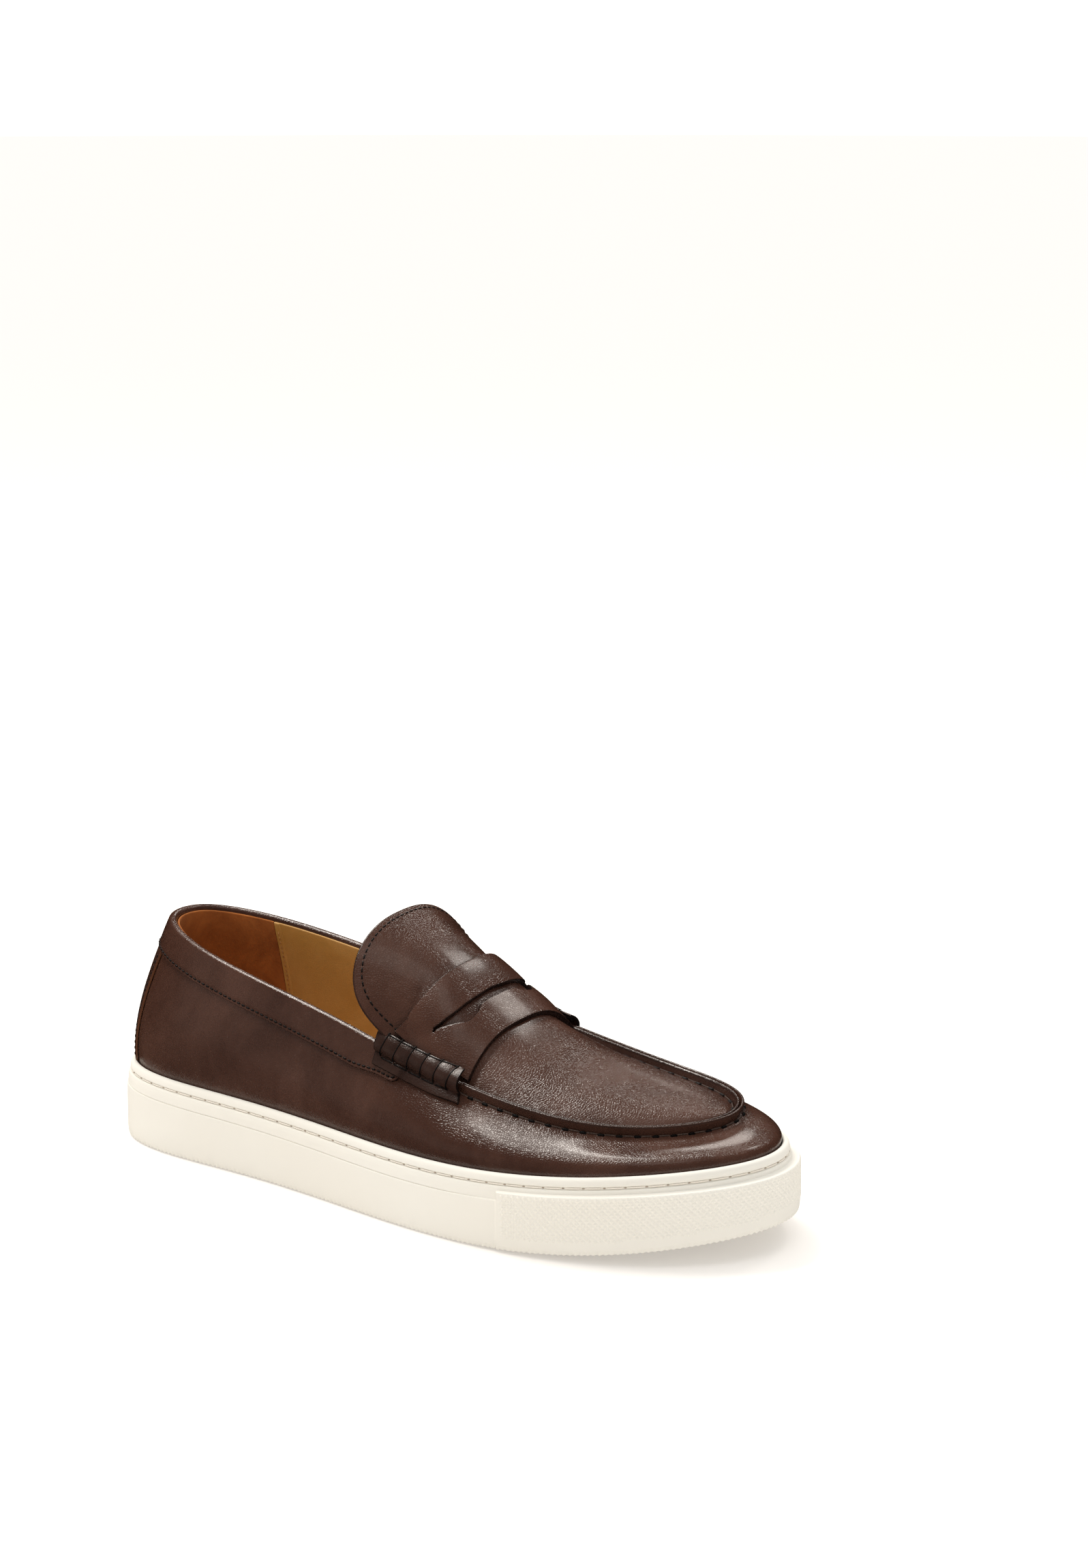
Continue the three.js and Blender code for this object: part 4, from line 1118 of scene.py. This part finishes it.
def beefroll(side, start):
    """The rolled leather over the seam, with the flat flange that lies on the wall."""
    t = np.linspace(0, 1, 110)
    u = start + t * ROLL_LENGTH
    outside, inside = catmull(ROLL_OUTSIDE, OUTSIDE_STEPS), catmull(ROLL_INSIDE, 20)
    rolled = np.vstack([outside, ROLL_TIP, inside])
    rise, height = (np.tile(rolled[:, k], (len(u), 1)) for k in (0, 1))
    # the loops pull it in, and it swells between them
    lean = LOOP_LEAN * outside[:, 0] / ROLL_HALF
    tight = near(t[:, None] - lean, LOOPS, 0.03)
    height[:, :OUTSIDE_STEPS] -= tight * np.clip(height[:, :OUTSIDE_STEPS] - 1.4, 0, 1.2) * 0.22
    rise[:, :OUTSIDE_STEPS] *= 1 - 0.03 * tight
    height += over_band_low(u[:, None], rise)
    rise, height = rise - ROLL_SINK[side][0], height - ROLL_SINK[side][1]
    grid = np.repeat(u[:, None], len(rolled), 1)
    parts = [None, roll_place(grid, rise, height), None]
    for k, rows in ((0, FLANGE_OUTSIDE), (2, FLANGE_INSIDE)):
        rows = np.array(rows)
        grid = np.repeat(u[:, None], len(rows), 1)
        drop = rows[:, 0] + COLLAR_LIP - seam_rise(grid)
        parts[k] = wall(grid, below(grid, drop), rows[:, 1] + over_band(u)[:, None])
    sections = np.hstack(parts)
    cut = np.zeros(sections.shape[:2])
    cut[:, :3] = 1
    # dark ends: edge paint, and painted shade where the real roll is open
    cut[[0, -1]] = 1
    name = "beefroll_" + side
    return loft(name + "_leather", sections, ROLL_BROWN, "brown_leather", [name], cut=cut)


def beefroll_thread(side, start):
    """The loops over the roll, and the stitches that run between them along both of its edges."""
    over = catmull(LOOP_PATH, 26)
    down, low = ROLL_SINK[side]
    paths = []
    for t in LOOPS:
        u = start + (t + LOOP_LEAN * over[:, 0] / ROLL_HALF) * ROLL_LENGTH
        lift = over_band_low(u, over[:, 0])
        paths.append(roll_place(u, over[:, 0] - down, over[:, 1] + lift - low))
    x = np.linspace(-1, 1, 9)
    for first, last in zip(LOOPS, LOOPS[1:]):
        t = mix(first, last, (x + 1) / 2)
        u = start + (t + LOOP_LEAN) * ROLL_LENGTH
        paths.append(roll_place(u, 4.1 - down + 0 * x, 3.6 - low - 0.35 * x**4))
        u = start + (t - LOOP_LEAN) * ROLL_LENGTH
        drop = 5.5 + COLLAR_LIP - seam_rise(u)
        paths.append(wall(u, below(u, drop), 1.8 - 0.5 * x**4 + over_band(u)))
    name = "beefroll_thread_" + side
    tubes(name + "_loops", paths, 0.24, BLACK_THREAD_AND_HOLE_SHADE, "brown_thread", [name], hole=1.1)


# ---- assembly

cup_sole()
toe_studs()
tread_bars()
sole_stitches()
wall_panel("vamp", HEEL_JOIN, MEDIAL_JOIN - HEEL_JOIN / 2, "vamp_panel")
wall_panel("medial_quarter_leather", MEDIAL_JOIN + HEEL_JOIN / 2, 1 - HEEL_JOIN, "medial_quarter")
heel_stay()
stay_stitches()
join_stitches()
for part in LINING_PARTS:
    lining(*part)
lining_stitches()
footbed()
collar()
collar_stitches()
apron()
apron_lining()
tongue_stitches()
seam_stitches()
strap()
for side, start in (("lateral", ROLL_LATERAL), ("medial", ROLL_MEDIAL)):
    beefroll(side, start)
    beefroll_thread(side, start)

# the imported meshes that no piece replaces, out of sight inside the shoe
KEPT = {
    "midsole_filler": FOAM, "footbed_foam": FOAM, "insole_board": BOARD, "heel_counter": BOARD,
    "toe_puff": BOARD, "beefroll_core_lateral": BROWN_THREAD, "beefroll_core_medial": BROWN_THREAD,
}
for node, look in KEPT.items():
    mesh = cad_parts[node].data
    mesh.materials.clear()
    mesh.materials.append(look)

# ---- stage, light and camera

WARM = (1, 0.94, 0.87)
# name, place, aim, size and power
LAMPS = [
    ("strip", (-0.14, -0.62, 1.38), (0, 0.05, 0.05), (1.05, 0.22), 15.5),
    ("window", (-0.96, 0.2, 1.2), (0, 0.02, 0.08), (0.24, 0.24), 2.2),
    ("toe", (-0.94, -0.43, 0.64), (0, 0.136, 0.042), (0.16, 0.12), 0.6),
    ("tongue", (0.4, 0.35, 1.5), (0, 0, 0.08), (0.5, 0.5), 1.0),
    ("side", (1.2, -1.1, 0.5), (0, 0, 0.05), (0.9, 0.7), 0.4),
]


def area_light(name, location, target, size, power):
    data = bpy.data.lights.new(name, "AREA")
    data.shape = "RECTANGLE"
    data.size, data.size_y = size
    data.energy = power
    data.color = WARM
    light = add(name, data)
    light.location = location
    light.rotation_euler = (Vector(target) - Vector(location)).to_track_quat("-Z", "Y").to_euler()


def paper(name, glow):
    """Plain matt paper that gives a little light of its own."""
    look = Look(name, Roughness=0.9, Specular_IOR_Level=0.0, Emission_Strength=glow)
    look.shader.inputs["Base Color"].default_value = srgb(226, 223, 219)
    look.shader.inputs["Emission Color"].default_value = (1, 0.965, 0.935, 1)
    return look.material


def stage():
    """A wide glowing paper floor that rises far away. It leaves the object's gloss to the lamps."""
    sides = 48
    angle = np.arange(sides) * 2 * math.pi / sides
    points = []
    for radius, z in ((12, 0), (45, 9)):
        points += [(radius * math.cos(a), radius * math.sin(a), z) for a in angle]
    faces = [tuple(range(sides))]
    faces += [(k, k + sides, (k + 1) % sides + sides, (k + 1) % sides) for k in range(sides)]
    mesh = bpy.data.meshes.new("floor")
    mesh.from_pydata(points, [], faces)
    mesh.materials.append(paper("floor", 0.27))
    mesh.materials.append(paper("backdrop", 0.42))
    mesh.polygons.foreach_set("material_index", [0] + [1] * sides)
    floor = add("floor", mesh)
    floor.location = (0, 0, -0.0002)
    floor.visible_glossy = False


def sky():
    """Even light from all round that the gloss doesn't show."""
    world = bpy.data.worlds.new("studio")
    world.use_nodes = True
    background = world.node_tree.nodes["Background"]
    background.inputs["Color"].default_value = (1, 1, 1, 1)
    background.inputs["Strength"].default_value = 0.62
    bpy.context.scene.world = world
    world.cycles_visibility.glossy = False
    bpy.context.scene.view_settings.view_transform = "Standard"


def sun_light():
    """A very soft sun, for the floor's shadow."""
    sun = add("sun", bpy.data.lights.new("sun", "SUN"))
    sun.data.energy = 1.2
    sun.data.angle = math.radians(100)
    sun.rotation_euler = Vector((-0.3, -0.3, 0.9)).to_track_quat("Z", "Y").to_euler()
    sun.visible_glossy = False


def main_camera():
    camera = add("camera", bpy.data.cameras.new("camera"))
    camera.data.lens = 79.55
    camera.data.sensor_width = 36
    camera.data.clip_start, camera.data.clip_end = 0.05, 50
    back = Vector((0.8072, 0.5486, 0.2181)).normalized()
    right = Vector((-0.5621, 0.8271, 0)).normalized()
    camera.matrix_world = Matrix((right, back.cross(right), back)).transposed().to_4x4()
    camera.location = (1.0765, 0.7805, 0.4609)
    bpy.context.scene.camera = camera


stage()
sky()
sun_light()
for lamp in LAMPS:
    area_light(*lamp)
main_camera()
